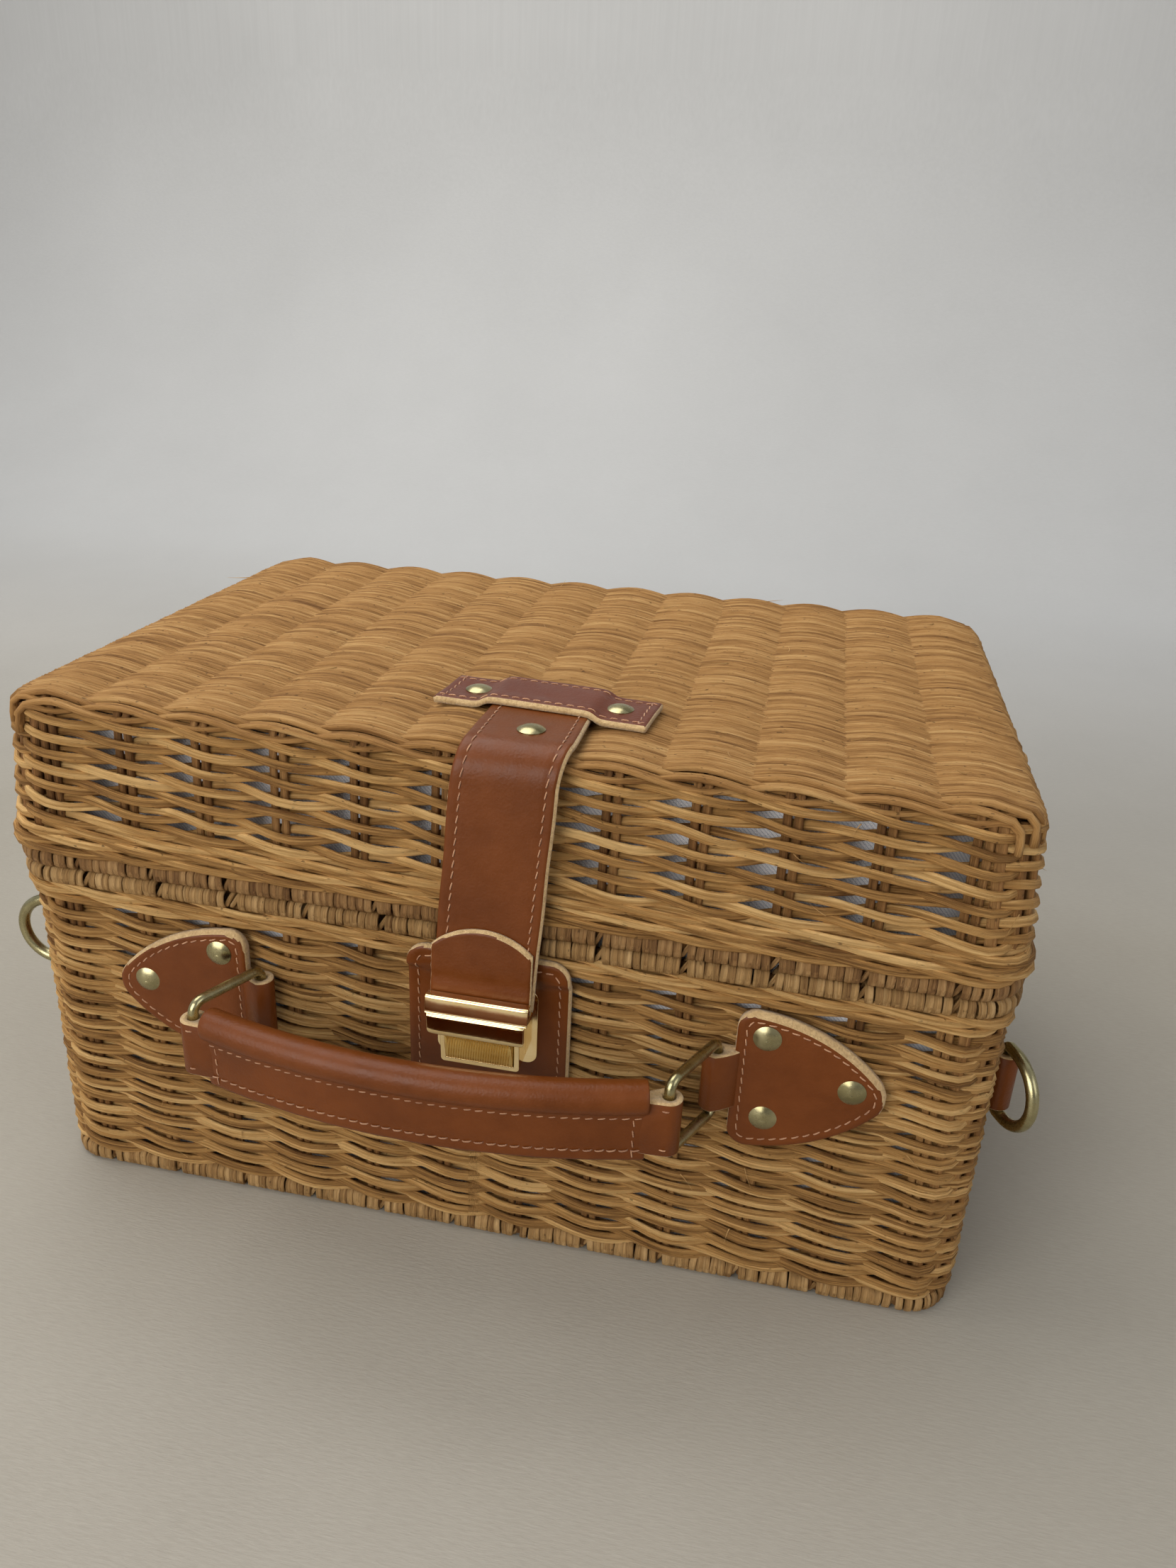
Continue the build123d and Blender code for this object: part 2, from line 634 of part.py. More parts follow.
strap_crossbar = bar_place * extrude(Plane.XZ.offset(-crossbar_depth / 2) * bar_face, crossbar_depth)
strap_crossbar = drilled(strap_crossbar, strap_seats)
strap_top = drilled(strap_top, strap_seats[:1])
lid_top_weave = drilled(lid_top_weave, strap_seats)
lid_lining = drilled(lid_lining, strap_seats)

# ---- strap flap, tongue and hasp: they swing out on the strap's bend ----
hasp_top = z_mouth - hasp_drop
flap_low = hasp_top - 4.0
flap_high = flap_axis_z
flap_low_y = flap_y - strap_slack
flap_lean = (flap_y - flap_low_y) / (flap_axis_z - flap_low)


def flap_line(z):
    """Y of the middle of the flap's leather at a height."""
    return flap_y - (flap_axis_z - z) * flap_lean


def leaning_sheet(z0, z1, inner, outer):
    return [(flap_line(z0) - inner, z0), (flap_line(z1) - inner, z1),
            (flap_line(z1) - outer, z1), (flap_line(z0) - outer, z0)]


flap_block = across(leaning_sheet(flap_low, flap_high, -half_leather, half_leather), lock_x, 3 * strap_width)
half_strap = strap_width / 2
flap_shape = make_face(Polyline((lock_x - half_strap, flap_low), (lock_x + half_strap, flap_low),
                                (flap_top_x + half_strap, flap_high), (flap_top_x - half_strap, flap_high),
                                close=True))
knuckle = extrude(Circle(half_leather), strap_width)
knuckle = Pos(flap_top_x - half_strap, flap_y, flap_axis_z) * Rot(0, 90, 0) * knuckle
strap_flap = (flap_block & front_plate(flap_shape, 0, 2 * front)) + knuckle

tongue_back = half_leather + fit_gap / 2
tongue_top = flap_low + tongue_height + tongue_arch / 2
tongue_side = tongue_top - tongue_arch
tongue_half = strap_width / 2 - 0.3
tongue_block = across(leaning_sheet(flap_low, tongue_top + 1, tongue_back, tongue_back + tongue_thickness),
                      lock_x, 2 * strap_width)
tongue_edges = Polyline((lock_x - tongue_half, tongue_side), (lock_x - tongue_half, flap_low),
                        (lock_x + tongue_half, flap_low), (lock_x + tongue_half, tongue_side))
tongue_edges += ThreePointArc((lock_x + tongue_half, tongue_side), (lock_x, tongue_top),
                              (lock_x - tongue_half, tongue_side))
strap_tongue = tongue_block & front_plate(make_face(tongue_edges), 0, 2 * front)

hasp_in = flap_line(hasp_top + 0.8) + half_leather + soft_gap
hasp_out = flap_line(flap_low) - tongue_back - tongue_thickness
web = flap_low - soft_gap
lip_face = -(button_face + soft_gap + 1.0)
lip_low = housing_top - 2.2
step_z = web - hasp_sheet - 0.9
channel_top = hasp_top - 0.2
hasp_outline = [(hasp_in + 1.0, hasp_top + 0.8), (hasp_in + 1.0, web - hasp_sheet),
                (lip_face - 0.3, web - hasp_sheet), (lip_face + 0.2, step_z),
                (lip_face - 0.2, step_z - 1.0), (lip_face - 0.2, lip_low + 1.2), (lip_face + 0.4, lip_low),
                (lip_face - 1.0, lip_low), (lip_face - 1.6, lip_low + 0.9), (lip_face - 1.6, step_z - 0.6),
                (lip_face - 1.1, step_z + 0.2), (lip_face - 2.0, step_z + 1.1),
                (hasp_out - soft_gap - 0.3 - hasp_sheet, channel_top),
                (hasp_out - soft_gap - 0.3, channel_top),
                (lip_face - 0.6, web), (hasp_in, web), (hasp_in, hasp_top + 0.8)]
hasp = across(hasp_outline, lock_x, hasp_width)

# ---- back hinge straps: leather that crosses from the body to the lid ----
back_face = body_depth / 2
skirt_face = lid_skirt_depth / 2
back_axis_y = skirt_face + back_axis_gap + leather / 2
back_axis_z = (z_mouth + z_lid) / 2
low_face = back_face + soft_gap
high_z = back_axis_z + back_strap_rise
high_face = lid_rows_depth / 2 + soft_gap
body_leg = [(low_face, back_axis_z - back_strap_drop), (low_face, z_waling - bulge_start),
            (back_axis_y - half_leather, z_waling), (back_axis_y - half_leather, back_axis_z - hinge_gap),
            (back_axis_y + half_leather, back_axis_z - hinge_gap),
            (back_axis_y + half_leather, z_waling - 0.6),
            (low_face + leather, z_waling - bulge_start - 0.6),
            (low_face + leather, back_axis_z - back_strap_drop)]
lid_leg = [(high_face, high_z), (high_face, z_lid_wall + bulge_start),
           (back_axis_y - half_leather, z_lid_wall - 1.0),
           (back_axis_y - half_leather, back_axis_z + hinge_gap),
           (back_axis_y + half_leather, back_axis_z + hinge_gap),
           (back_axis_y + half_leather, z_lid_wall - 0.4),
           (high_face + leather, z_lid_wall + bulge_start + 0.6), (high_face + leather, high_z)]
back_low_seats = []
back_high_seats = []
for side in (-1, 1):
    for across_x in (-back_rivet_reach, back_rivet_reach):
        x = side * back_strap_x + across_x
        low_z = back_axis_z - back_strap_drop + back_low_rivet_inset
        low_seat = Plane(origin=(x, low_face + leather, low_z),
                         x_dir=(1, 0, 0), z_dir=(0, 1, 0))
        high_seat = Plane(origin=(x, high_face + leather, high_z - back_high_rivet_inset),
                          x_dir=(1, 0, 0), z_dir=(0, 1, 0))
        back_low_seats.append((low_seat, leather + soft_gap + wall_grip))
        back_high_seats.append((high_seat, high_face + leather - (lid_lining_depth / 2 - lining_thickness)))
back_straps_body = [across(body_leg, side * back_strap_x, back_strap_width) for side in (-1, 1)]
back_straps_lid = [across(lid_leg, side * back_strap_x, back_strap_width) for side in (-1, 1)]
back_straps_body = [drilled(piece, back_low_seats) for piece in back_straps_body]
back_straps_lid = [drilled(piece, back_high_seats) for piece in back_straps_lid]

# ---- holes for the rivets in the walls and the lining ----
body_seats = pad_seats + side_seats + back_low_seats + lock_post_seats
body_weave = drilled(body_weave, body_seats)
body_lining = drilled(body_lining, body_seats)
lid_weave = drilled(lid_weave, back_high_seats)
lid_lining = drilled(lid_lining, back_high_seats)

nodes = {
    "body_weave": [body_weave],
    "base_weave": [base_weave],
    "body_waling": [body_waling],
    "body_rim_border": [body_rim_border],
    "foot_border": [foot_border],
    "body_corner_posts": body_corner_posts,
    "body_lining": [body_lining],
    "pad_left": [pad_left],
    "pad_right": [pad_right],
    "pad_rivet_caps": rivet_caps(pad_seats),
    "pad_rivet_posts": rivet_posts(pad_seats),
    "ring_left": [ring_left],
    "ring_right": [ring_right],
    "handle_cover": [handle_cover],
    "handle_core": [handle_core],
    "handle_loop_left": [handle_loop_left],
    "handle_loop_right": [handle_loop_right],
    "side_tab_left": [side_tab_left],
    "side_tab_right": [side_tab_right],
    "side_rivet_caps": rivet_caps(side_seats),
    "side_rivet_posts": rivet_posts(side_seats),
    "side_ring_left": [side_ring_left],
    "side_ring_right": [side_ring_right],
    "lock_patch": [lock_patch],
    "lock_base_plate": [lock_base_plate],
    "lock_posts": rivet_posts(lock_post_seats),
    "lock_housing": [lock_housing],
    "lock_button": [lock_button],
    "lock_catch": [lock_catch],
    "lock_spring": [lock_spring],
    "lid_border": [lid_border],
    "lid_waling": [lid_waling],
    "lid_weave": [lid_weave],
    "lid_top_weave": [lid_top_weave],
    "lid_corner_posts": lid_corner_posts,
    "lid_lining": [lid_lining],
    "strap_top": [strap_top],
    "strap_crossbar": [strap_crossbar],
    "strap_rivet_caps": rivet_caps(strap_seats[:1] + bar_seats),
    "strap_rivet_posts": rivet_posts(strap_seats),
    "strap_flap": [strap_flap],
    "strap_tongue": [strap_tongue],
    "hasp": [hasp],
    "back_straps_body": back_straps_body,
    "back_straps_lid": back_straps_lid,
    "back_rivet_caps_body": rivet_caps(back_low_seats),
    "back_rivet_posts_body": rivet_posts(back_low_seats),
    "back_rivet_caps_lid": rivet_caps(back_high_seats),
    "back_rivet_posts_lid": rivet_posts(back_high_seats),
}

os.makedirs("parts", exist_ok=True)
for name, solids in nodes.items():
    flat = [solid for piece in solids for solid in piece.solids()]
    export_step(group(flat) if len(flat) > 1 else flat[0], f"parts/{name}.step")
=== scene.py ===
import math

import bmesh
import bpy
import numpy as np
from mathutils import Matrix, Vector
from mathutils.geometry import delaunay_2d_cdt


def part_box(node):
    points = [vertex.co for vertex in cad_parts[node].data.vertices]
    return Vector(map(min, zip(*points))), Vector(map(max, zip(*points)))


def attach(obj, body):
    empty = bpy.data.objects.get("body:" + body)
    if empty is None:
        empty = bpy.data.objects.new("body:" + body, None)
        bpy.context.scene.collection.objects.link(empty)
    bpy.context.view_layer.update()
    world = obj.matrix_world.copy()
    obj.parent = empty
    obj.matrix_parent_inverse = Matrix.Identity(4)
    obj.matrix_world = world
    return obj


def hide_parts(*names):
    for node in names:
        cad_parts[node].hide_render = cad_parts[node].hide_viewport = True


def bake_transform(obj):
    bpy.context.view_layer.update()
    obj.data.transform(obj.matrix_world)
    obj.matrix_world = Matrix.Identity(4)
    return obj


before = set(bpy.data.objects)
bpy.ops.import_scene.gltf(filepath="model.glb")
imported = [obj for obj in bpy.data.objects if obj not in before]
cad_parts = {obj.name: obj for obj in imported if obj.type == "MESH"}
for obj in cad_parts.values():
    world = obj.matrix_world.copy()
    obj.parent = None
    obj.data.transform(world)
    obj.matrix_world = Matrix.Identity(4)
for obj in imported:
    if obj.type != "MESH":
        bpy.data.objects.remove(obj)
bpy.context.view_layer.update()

# All the shapes below are worked out in millimetres, in the CAD's frame, and
# scaled to metres when a mesh is made.
MM = 0.001
rng = np.random.default_rng(20)


def low_high(node):
    """The lowest and highest corners of a CAD node, in millimetres."""
    low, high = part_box(node)
    return np.array(low) / MM, np.array(high) / MM


# ---------------------------------------------------------------- materials
class Graph:
    """A material's node tree, with short calls to add nodes and join them."""

    def __init__(self, name):
        self.mat = bpy.data.materials.new(name)
        self.mat.use_nodes = True
        self.tree = self.mat.node_tree
        self.shader = self.tree.nodes["Principled BSDF"]

    def add(self, kind, values=None, **settings):
        node = self.tree.nodes.new(kind)
        for key, value in settings.items():
            setattr(node, key, value)
        for key, value in (values or {}).items():
            self.put(node.inputs[key], value)
        return node

    def put(self, socket, value):
        if isinstance(value, bpy.types.NodeSocket):
            self.tree.links.new(value, socket)
        else:
            socket.default_value = value

    def set(self, **values):
        for key, value in values.items():
            self.put(self.shader.inputs[key.replace("_", " ")], value)

    def attribute(self, name):
        return self.add("ShaderNodeAttribute", attribute_name=name).outputs["Fac"]

    def math(self, operation, a, b=0.0):
        node = self.add("ShaderNodeMath", operation=operation)
        self.put(node.inputs[0], a)
        self.put(node.inputs[1], b)
        return node.outputs[0]

    def object_place(self, scale=(1, 1, 1)):
        place = self.add("ShaderNodeTexCoord").outputs["Object"]
        return self.add("ShaderNodeMapping", {"Vector": place, "Scale": scale}).outputs[0]

    def noise(self, vector, scale, detail=3.0, rough=0.55):
        node = self.add("ShaderNodeTexNoise", {"Vector": vector, "Scale": scale, "Detail": detail,
                                               "Roughness": rough})
        return node.outputs["Fac"]

    def ramp(self, fac, stops):
        node = self.add("ShaderNodeValToRGB", {"Fac": fac})
        points = node.color_ramp.elements
        while len(points) < len(stops):
            points.new(0.5)
        for point, (place, colour) in zip(points, stops):
            point.position = place
            point.color = (*colour, 1.0)
        return node.outputs["Color"]

    def span(self, fac, low, high, to_low=0.0, to_high=1.0):
        node = self.add("ShaderNodeMapRange", {"Value": fac, "From Min": low, "From Max": high,
                                               "To Min": to_low, "To Max": to_high})
        return node.outputs["Result"]

    def mix(self, fac, a, b):
        node = self.add("ShaderNodeMix", data_type="RGBA")
        for socket, value in ((node.inputs[0], fac), (node.inputs[6], a), (node.inputs[7], b)):
            if isinstance(value, tuple) and len(value) == 3:
                value = (*value, 1.0)
            self.put(socket, value)
        return node.outputs[2]

    def bump(self, height, distance, strength):
        values = {"Height": height, "Distance": distance, "Strength": strength}
        return self.add("ShaderNodeBump", values).outputs[0]

    def strand_place(self, along, around, strand):
        """A texture place that runs along each strand and differs from strand to strand."""
        scaled = {axis: self.math("MULTIPLY", self.attribute(name), scale) for axis, name, scale in
                  (("X", "along", along), ("Y", "around", around), ("Z", "strand", strand))}
        return self.add("ShaderNodeCombineXYZ", scaled).outputs[0]

    def weighted(self, a, weight_a, b, weight_b):
        return self.math("ADD", self.math("MULTIPLY", a, weight_a), self.math("MULTIPLY", b, weight_b))

    def plain(self, **values):
        """Numbers that are the same all over, set on the shader's own sockets."""
        for key, value in values.items():
            self.shader.inputs[key.replace("_", " ")].default_value = value


def reed_material(name, dark, mid, light, roughness=0.6, fibre=1.0, spread=0.34):
    """Split cane: long fibre lines, a colour of its own for each strand, dark specks and stained patches."""
    g = Graph(name)
    lines = g.noise(g.strand_place(0.035, 9.0, 61.0), 3.6, 5.0, 0.74)
    patches = g.noise(g.strand_place(0.02, 1.0, 37.0), 1.6, 2.0)
    specks = g.span(g.noise(g.strand_place(0.34, 4.0, 83.0), 1.5, 1.0), 0.69, 0.76)
    tone = g.weighted(g.attribute("strand"), spread, lines, 1.15)
    tone = g.math("ADD", tone, g.math("MULTIPLY", g.math("SUBTRACT", patches, 0.5), 0.85))
    middle = 0.575 + spread / 2
    colour = g.ramp(tone, [(middle - 0.31, dark), (middle, mid), (middle + 0.29, light)])
    colour = g.mix(g.math("MULTIPLY", specks, 0.6), colour, tuple(0.35 * c for c in dark))
    g.set(Base_Color=colour, Roughness=g.span(lines, 0.3, 0.7, roughness + 0.1, roughness - 0.08),
          Normal=g.bump(lines, 0.0006, 0.85 * fibre))
    g.plain(Specular_IOR_Level=0.22)
    return g.mat


def leather_material(name, deep, light, roughness=0.38):
    """Finished leather: pebble grain, faint creases and cloudy colour."""
    g = Graph(name)
    place = g.object_place()
    clouds = g.noise(place, 38.0, 4.0, 0.6)
    wear = g.noise(place, 210.0, 3.0, 0.6)
    pebble = g.add("ShaderNodeTexVoronoi", {"Vector": place, "Scale": 1500.0}, feature="SMOOTH_F1")
    creases = g.noise(place, 650.0, 5.0, 0.6)
    height = g.math("ADD", g.math("MULTIPLY", pebble.outputs["Distance"], 0.6), creases)
    g.set(Base_Color=g.ramp(g.weighted(clouds, 0.75, wear, 0.3), [(0.30, deep), (0.78, light)]),
          Roughness=g.span(wear, 0.3, 0.7, roughness - 0.05, roughness + 0.1),
          Normal=g.bump(height, 0.00016, 0.55))
    g.plain(Coat_Weight=0.03, Coat_Roughness=0.35, Specular_IOR_Level=0.24)
    return g.mat


def raw_edge_material(name, dark, light):
    """Cut edge and flesh side of leather: pale and fuzzy."""
    g = Graph(name)
    place = g.object_place()
    fluff = g.noise(place, 1300.0, 4.0, 0.7)
    tone = g.weighted(fluff, 0.7, g.noise(place, 160.0, 3.0), 0.4)
    g.set(Base_Color=g.ramp(tone, [(0.32, dark), (0.70, light)]), Normal=g.bump(fluff, 0.0007, 1.0))
    g.plain(Roughness=0.95, Sheen_Weight=0.3, Specular_IOR_Level=0.15)
    return g.mat


def metal_material(name, dark, light, rough_low, rough_high, bump=0.00003):
    """Plated metal: cloudy tone, fine handling marks and uneven polish."""
    g = Graph(name)
    place = g.object_place()
    clouds = g.noise(place, 120.0, 4.0, 0.62)
    marks = g.noise(place, 900.0, 3.0, 0.6)
    g.set(Base_Color=g.ramp(clouds, [(0.32, dark), (0.66, light)]),
          Roughness=g.span(g.weighted(clouds, 0.6, marks, 0.4), 0.3, 0.7, rough_low, rough_high),
          Normal=g.bump(marks, bump, 0.5))
    g.plain(Metallic=1.0)
    return g.mat


def thread_material(name, dark, light):
    """Twisted thread."""
    g = Graph(name)
    twist = g.math("SINE", g.weighted(g.attribute("along"), 9.0, g.attribute("around"), 12.566))
    tone = g.math("ADD", g.math("MULTIPLY", twist, 0.25), g.attribute("strand"))
    g.set(Base_Color=g.ramp(tone, [(0.1, dark), (0.9, light)]), Normal=g.bump(twist, 0.00006, 0.7))
    g.plain(Roughness=0.62, Sheen_Weight=0.25)
    return g.mat


def twill_material(name):
    """White cotton printed with fine blue-grey diagonal lines."""
    g = Graph(name)
    place = g.add("ShaderNodeTexCoord").outputs["Object"]
    parts = g.add("ShaderNodeSeparateXYZ", {"Vector": place}).outputs
    slant = g.math("ADD", g.math("ADD", parts["X"], parts["Y"]), parts["Z"])
    phase = g.weighted(slant, 5200.0, g.noise(place, 60.0, 2.0), 5.0)
    lines = g.span(g.math("SINE", phase), 0.1, 0.8)
    counter = g.math("MULTIPLY", g.math("SUBTRACT", parts["X"], parts["Z"]), 9000.0)
    weave = g.math("MULTIPLY", g.math("SINE", counter), g.math("SINE", phase))
    g.set(Base_Color=g.mix(g.math("MULTIPLY", lines, 0.45), (0.93, 0.93, 0.95), (0.36, 0.41, 0.52)),
          Normal=g.bump(weave, 0.00012, 0.7))
    g.plain(Roughness=0.9, Sheen_Weight=0.2, Specular_IOR_Level=0.2)
    return g.mat


def floor_material(name):
    """Pale painted floor with faint streaks, warmer and darker near the camera."""
    g = Graph(name)
    grain = g.noise(g.object_place((40, 220, 1)), 6.0, 4.0, 0.65)
    tone = g.weighted(g.noise(g.object_place(), 4.0, 5.0, 0.6), 0.6, grain, 0.4)
    near = g.ramp(tone, [(0.3, (0.295, 0.268, 0.220)), (0.7, (0.375, 0.345, 0.290))])
    far = g.ramp(tone, [(0.3, (0.50, 0.50, 0.49)), (0.7, (0.56, 0.56, 0.55))])
    place = g.add("ShaderNodeTexCoord").outputs["Object"]
    depth = g.add("ShaderNodeSeparateXYZ", {"Vector": place}).outputs["Y"]
    g.set(Base_Color=g.mix(g.span(depth, 0.15, 0.75), near, far), Normal=g.bump(grain, 0.0004, 0.35))
    g.plain(Roughness=0.6)
    return g.mat


REED = reed_material("reed", (0.140, 0.058, 0.014), (0.520, 0.275, 0.084), (0.830, 0.530, 0.215))
# lid top cane: the wall cane painted darker, as painted shade that tones down the top, which the lamps light
# more than the sides
SHADED_TOP_REED = reed_material("lid_top_reed", (0.170, 0.072, 0.018), (0.440, 0.225, 0.070), (0.640, 0.385, 0.150),
                         spread=0.22)
# stake cane: painted darker than the weavers, as painted shade in the gaps between the rows, where the stakes
# show
STAKE = reed_material("stake_reed_painted_shade", (0.110, 0.048, 0.014), (0.270, 0.125, 0.038), (0.460, 0.245, 0.085))
WRAP = reed_material("border_reed", (0.150, 0.068, 0.020), (0.430, 0.245, 0.090), (0.640, 0.410, 0.185),
                     spread=0.22)
WRAP_RED = reed_material("lid_border_reed", (0.110, 0.046, 0.014), (0.335, 0.175, 0.063),
                         (0.520, 0.310, 0.130), spread=0.24)
POST = reed_material("varnished_cane", (0.30, 0.15, 0.03), (0.55, 0.32, 0.08), (0.72, 0.47, 0.16),
                     roughness=0.28, fibre=0.35)
LEATHER = leather_material("leather", (0.108, 0.026, 0.003), (0.176, 0.046, 0.007))
LEATHER_RED = leather_material("leather_crossbar", (0.095, 0.021, 0.008), (0.150, 0.036, 0.014),
                               roughness=0.36)
RAW = raw_edge_material("leather_raw_edge", (0.400, 0.240, 0.095), (0.740, 0.520, 0.260))
THREAD = thread_material("thread", (0.33, 0.135, 0.060), (0.58, 0.30, 0.15))
BRASS = metal_material("antique_brass", (0.30, 0.26, 0.13), (0.47, 0.42, 0.24), 0.20, 0.36)
GOLD = metal_material("gold_plate", (0.84, 0.62, 0.30), (0.95, 0.76, 0.43), 0.06, 0.14, bump=0.00001)
BUTTON_GOLD = metal_material("button_gold", (0.72, 0.46, 0.13), (0.88, 0.62, 0.22), 0.12, 0.22, bump=0.00001)
STEEL = metal_material("spring_steel", (0.42, 0.43, 0.45), (0.58, 0.59, 0.60), 0.22, 0.38)
TWILL = twill_material("lining_twill")


# ---------------------------------------------------------------- mesh makers
def add_mesh(name, verts, faces, materials, face_material=None, attributes=None):
    """One mesh object from points in millimetres."""
    mesh = bpy.data.meshes.new(name)
    mesh.from_pydata((np.asarray(verts, float) * MM).tolist(), [], [list(map(int, f)) for f in faces])
    for key, values in (attributes or {}).items():
        layer = mesh.attributes.new(key, "FLOAT", "POINT")
        layer.data.foreach_set("value", np.asarray(values, np.float32))
    for material in materials:
        mesh.materials.append(material)
    if face_material is not None:
        mesh.polygons.foreach_set("material_index", np.asarray(face_material, np.int32))
    mesh.polygons.foreach_set("use_smooth", [True] * len(mesh.polygons))
    mesh.update()
    obj = bpy.data.objects.new(name, mesh)
    bpy.context.scene.collection.objects.link(obj)
    return obj


def place(obj, body, slot, *nodes):
    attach(obj, body)
    if nodes:
        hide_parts(*nodes)


def bridge(rows, count, closed=True, turned=False, ring=False):
    """Faces between rows of points; closed joins a row's two ends, ring joins the last row to the first."""
    faces = []
    for a in range(rows if ring else rows - 1):
        b = (a + 1) % rows
        for k in range(count if closed else count - 1):
            m = (k + 1) % count
            face = [a * count + k, a * count + m, b * count + m, b * count + k]
            faces.append([face[0], face[3], face[2], face[1]] if turned else face)
    return faces


def row_face(row, count):
    return list(range(row * count, (row + 1) * count))


class Tubes:
    """Collects many strands into one mesh: a strand is a row of points with a flattened round section."""

    def __init__(self, sides=8):
        self.sides = sides
        self.verts, self.faces = [], []
        self.strand, self.along, self.around = [], [], []
        self.count = 0

    def add(self, points, normals, half_out, half_across, closed=False, tone=None, flat=2.0, taper=0.0):
        """points and normals are n x 3; half sizes are numbers or one value for each point."""
        points = np.asarray(points, float)
        n = len(points)
        if closed:
            tangent = np.roll(points, -1, 0) - np.roll(points, 1, 0)
        else:
            tangent = np.gradient(points, axis=0)
        tangent /= np.linalg.norm(tangent, axis=1)[:, None]
        normals = np.broadcast_to(np.asarray(normals, float), points.shape)
        normals = normals - (normals * tangent).sum(1)[:, None] * tangent
        normals = normals / np.linalg.norm(normals, axis=1)[:, None]
        across = np.cross(tangent, normals)
        half_out = np.broadcast_to(half_out, n).astype(float)
        half_across = np.broadcast_to(half_across, n).astype(float)
        if taper and not closed:
            ends = np.minimum(np.arange(n), np.arange(n)[::-1])
            shrink = 1 - (1 - taper) * np.exp(-ends / 0.6)
            half_out = half_out * shrink
            half_across = half_across * shrink
        angle = np.arange(self.sides) * 2 * np.pi / self.sides
        c = np.sign(np.cos(angle)) * np.abs(np.cos(angle)) ** (2 / flat)
        s = np.sign(np.sin(angle)) * np.abs(np.sin(angle)) ** (2 / flat)
        ring = (points[:, None, :] + (half_out[:, None] * c)[:, :, None] * normals[:, None, :]
                + (half_across[:, None] * s)[:, :, None] * across[:, None, :])
        self.verts.append(ring.reshape(-1, 3))
        i = np.arange(n if closed else n - 1)
        j = np.arange(self.sides)
        a, b = np.meshgrid(i, j, indexing="ij")
        a2, b2 = (a + 1) % n, (b + 1) % self.sides
        quads = np.stack([a * self.sides + b, a * self.sides + b2, a2 * self.sides + b2, a2 * self.sides + b],
                         -1)
        self.faces.extend((quads.reshape(-1, 4) + self.count).tolist())
        if not closed:
            self.faces.append((self.count + j[::-1]).tolist())
            self.faces.append((self.count + (n - 1) * self.sides + j).tolist())
        step = np.linalg.norm(np.diff(points, axis=0), axis=1)
        length = np.concatenate([[0], np.cumsum(step)])
        shift = rng.uniform(0, 500)
        tone = rng.uniform() if tone is None else tone
        self.along.append(np.repeat(length + shift, self.sides))
        self.around.append(np.tile(j / self.sides, n))
        self.strand.append(np.full(n * self.sides, tone))
        self.count += n * self.sides

    def build(self, name, material):
        attributes = {"strand": np.concatenate(self.strand), "along": np.concatenate(self.along),
                      "around": np.concatenate(self.around)}
        return add_mesh(name, np.concatenate(self.verts), self.faces, [material], attributes=attributes)


# ---------------------------------------------------------------- woven walls
STAKES_WIDE = 12
STAKES_DEEP = 8
STAKE_PITCH = 23.4


def loop_points(width, depth, radius, n):
    """n even points round a rounded rectangle, from the middle of the front wall towards +X, their outward
    normals, and the length all round."""
    w, d = width / 2, depth / 2
    flat_w, flat_d, arc = w - radius, d - radius, radius * np.pi / 2
    total = 4 * (flat_w + flat_d + arc)
    s = np.arange(n) * total / n
    points, normals = np.zeros((n, 2)), np.zeros((n, 2))
    # each straight run: its length, start and direction, and the centre of the corner after it
    runs = ((flat_w, (0, -d), (1, 0), (flat_w, -flat_d)),
            (2 * flat_d, (w, -flat_d), (0, 1), (flat_w, flat_d)),
            (2 * flat_w, (flat_w, d), (-1, 0), (-flat_w, flat_d)),
            (2 * flat_d, (-w, flat_d), (0, -1), (-flat_w, -flat_d)),
            (flat_w + 1e-6, (-flat_w, -d), (1, 0), None))
    at = 0.0
    for k, (length, origin, way, centre) in enumerate(runs):
        inside = (s >= at) & (s < at + length)
        points[inside] = np.array(origin) + (s[inside] - at)[:, None] * np.array(way)
        normals[inside] = (way[1], -way[0])
        at += length
        if centre:
            inside = (s >= at) & (s < at + arc)
            turn = (k - 1) * np.pi / 2 + (s[inside] - at) / radius
            normals[inside] = np.stack([np.cos(turn), np.sin(turn)], 1)
            points[inside] = np.array(centre) + radius * normals[inside]
            at += arc
    return points, normals, total


def stake_places(width, depth):
    """Where the stakes stand, in order round the wall from the first one right of the front's middle."""
    half_w = [(k + 0.5) * STAKE_PITCH for k in range(STAKES_WIDE // 2)]
    deep = [(k - (STAKES_DEEP - 1) / 2) * STAKE_PITCH for k in range(STAKES_DEEP)]
    limit = depth / 2 - 7.5
    deep = [y * limit / deep[-1] for y in deep]
    w, d = width / 2, depth / 2
    places = [(x, -d, 0, -1) for x in half_w] + [(w, y, 1, 0) for y in deep]
    places += [(x, d, 0, 1) for x in half_w[::-1]] + [(-x, d, 0, 1) for x in half_w]
    places += [(-w, y, -1, 0) for y in deep[::-1]] + [(-x, -d, 0, -1) for x in half_w[::-1]]
    return places


def stake_index(points, width, depth):
    """The stake number, with fractions, at each point round the wall."""
    places = np.array([(p[0], p[1]) for p in stake_places(width, depth)])
    n = len(points)
    nearest = [int(np.argmin(((points - p) ** 2).sum(1))) for p in places]
    positions = np.array(nearest + [nearest[0] + n], float)
    values = np.arange(len(positions), dtype=float)
    index = np.arange(n, dtype=float)
    index = np.where(index < positions[0], index + n, index)
    return np.interp(index, positions, values)


WAVES = 9


def wander(n, size):
    """A smooth random wave that closes on itself."""
    t = np.arange(n) * 2 * np.pi / n
    total = np.zeros(n)
    for k in rng.integers(1, 40, WAVES):
        total += np.sin(k * t + rng.uniform(0, 2 * np.pi))
    return size * total / math.sqrt(WAVES / 2)


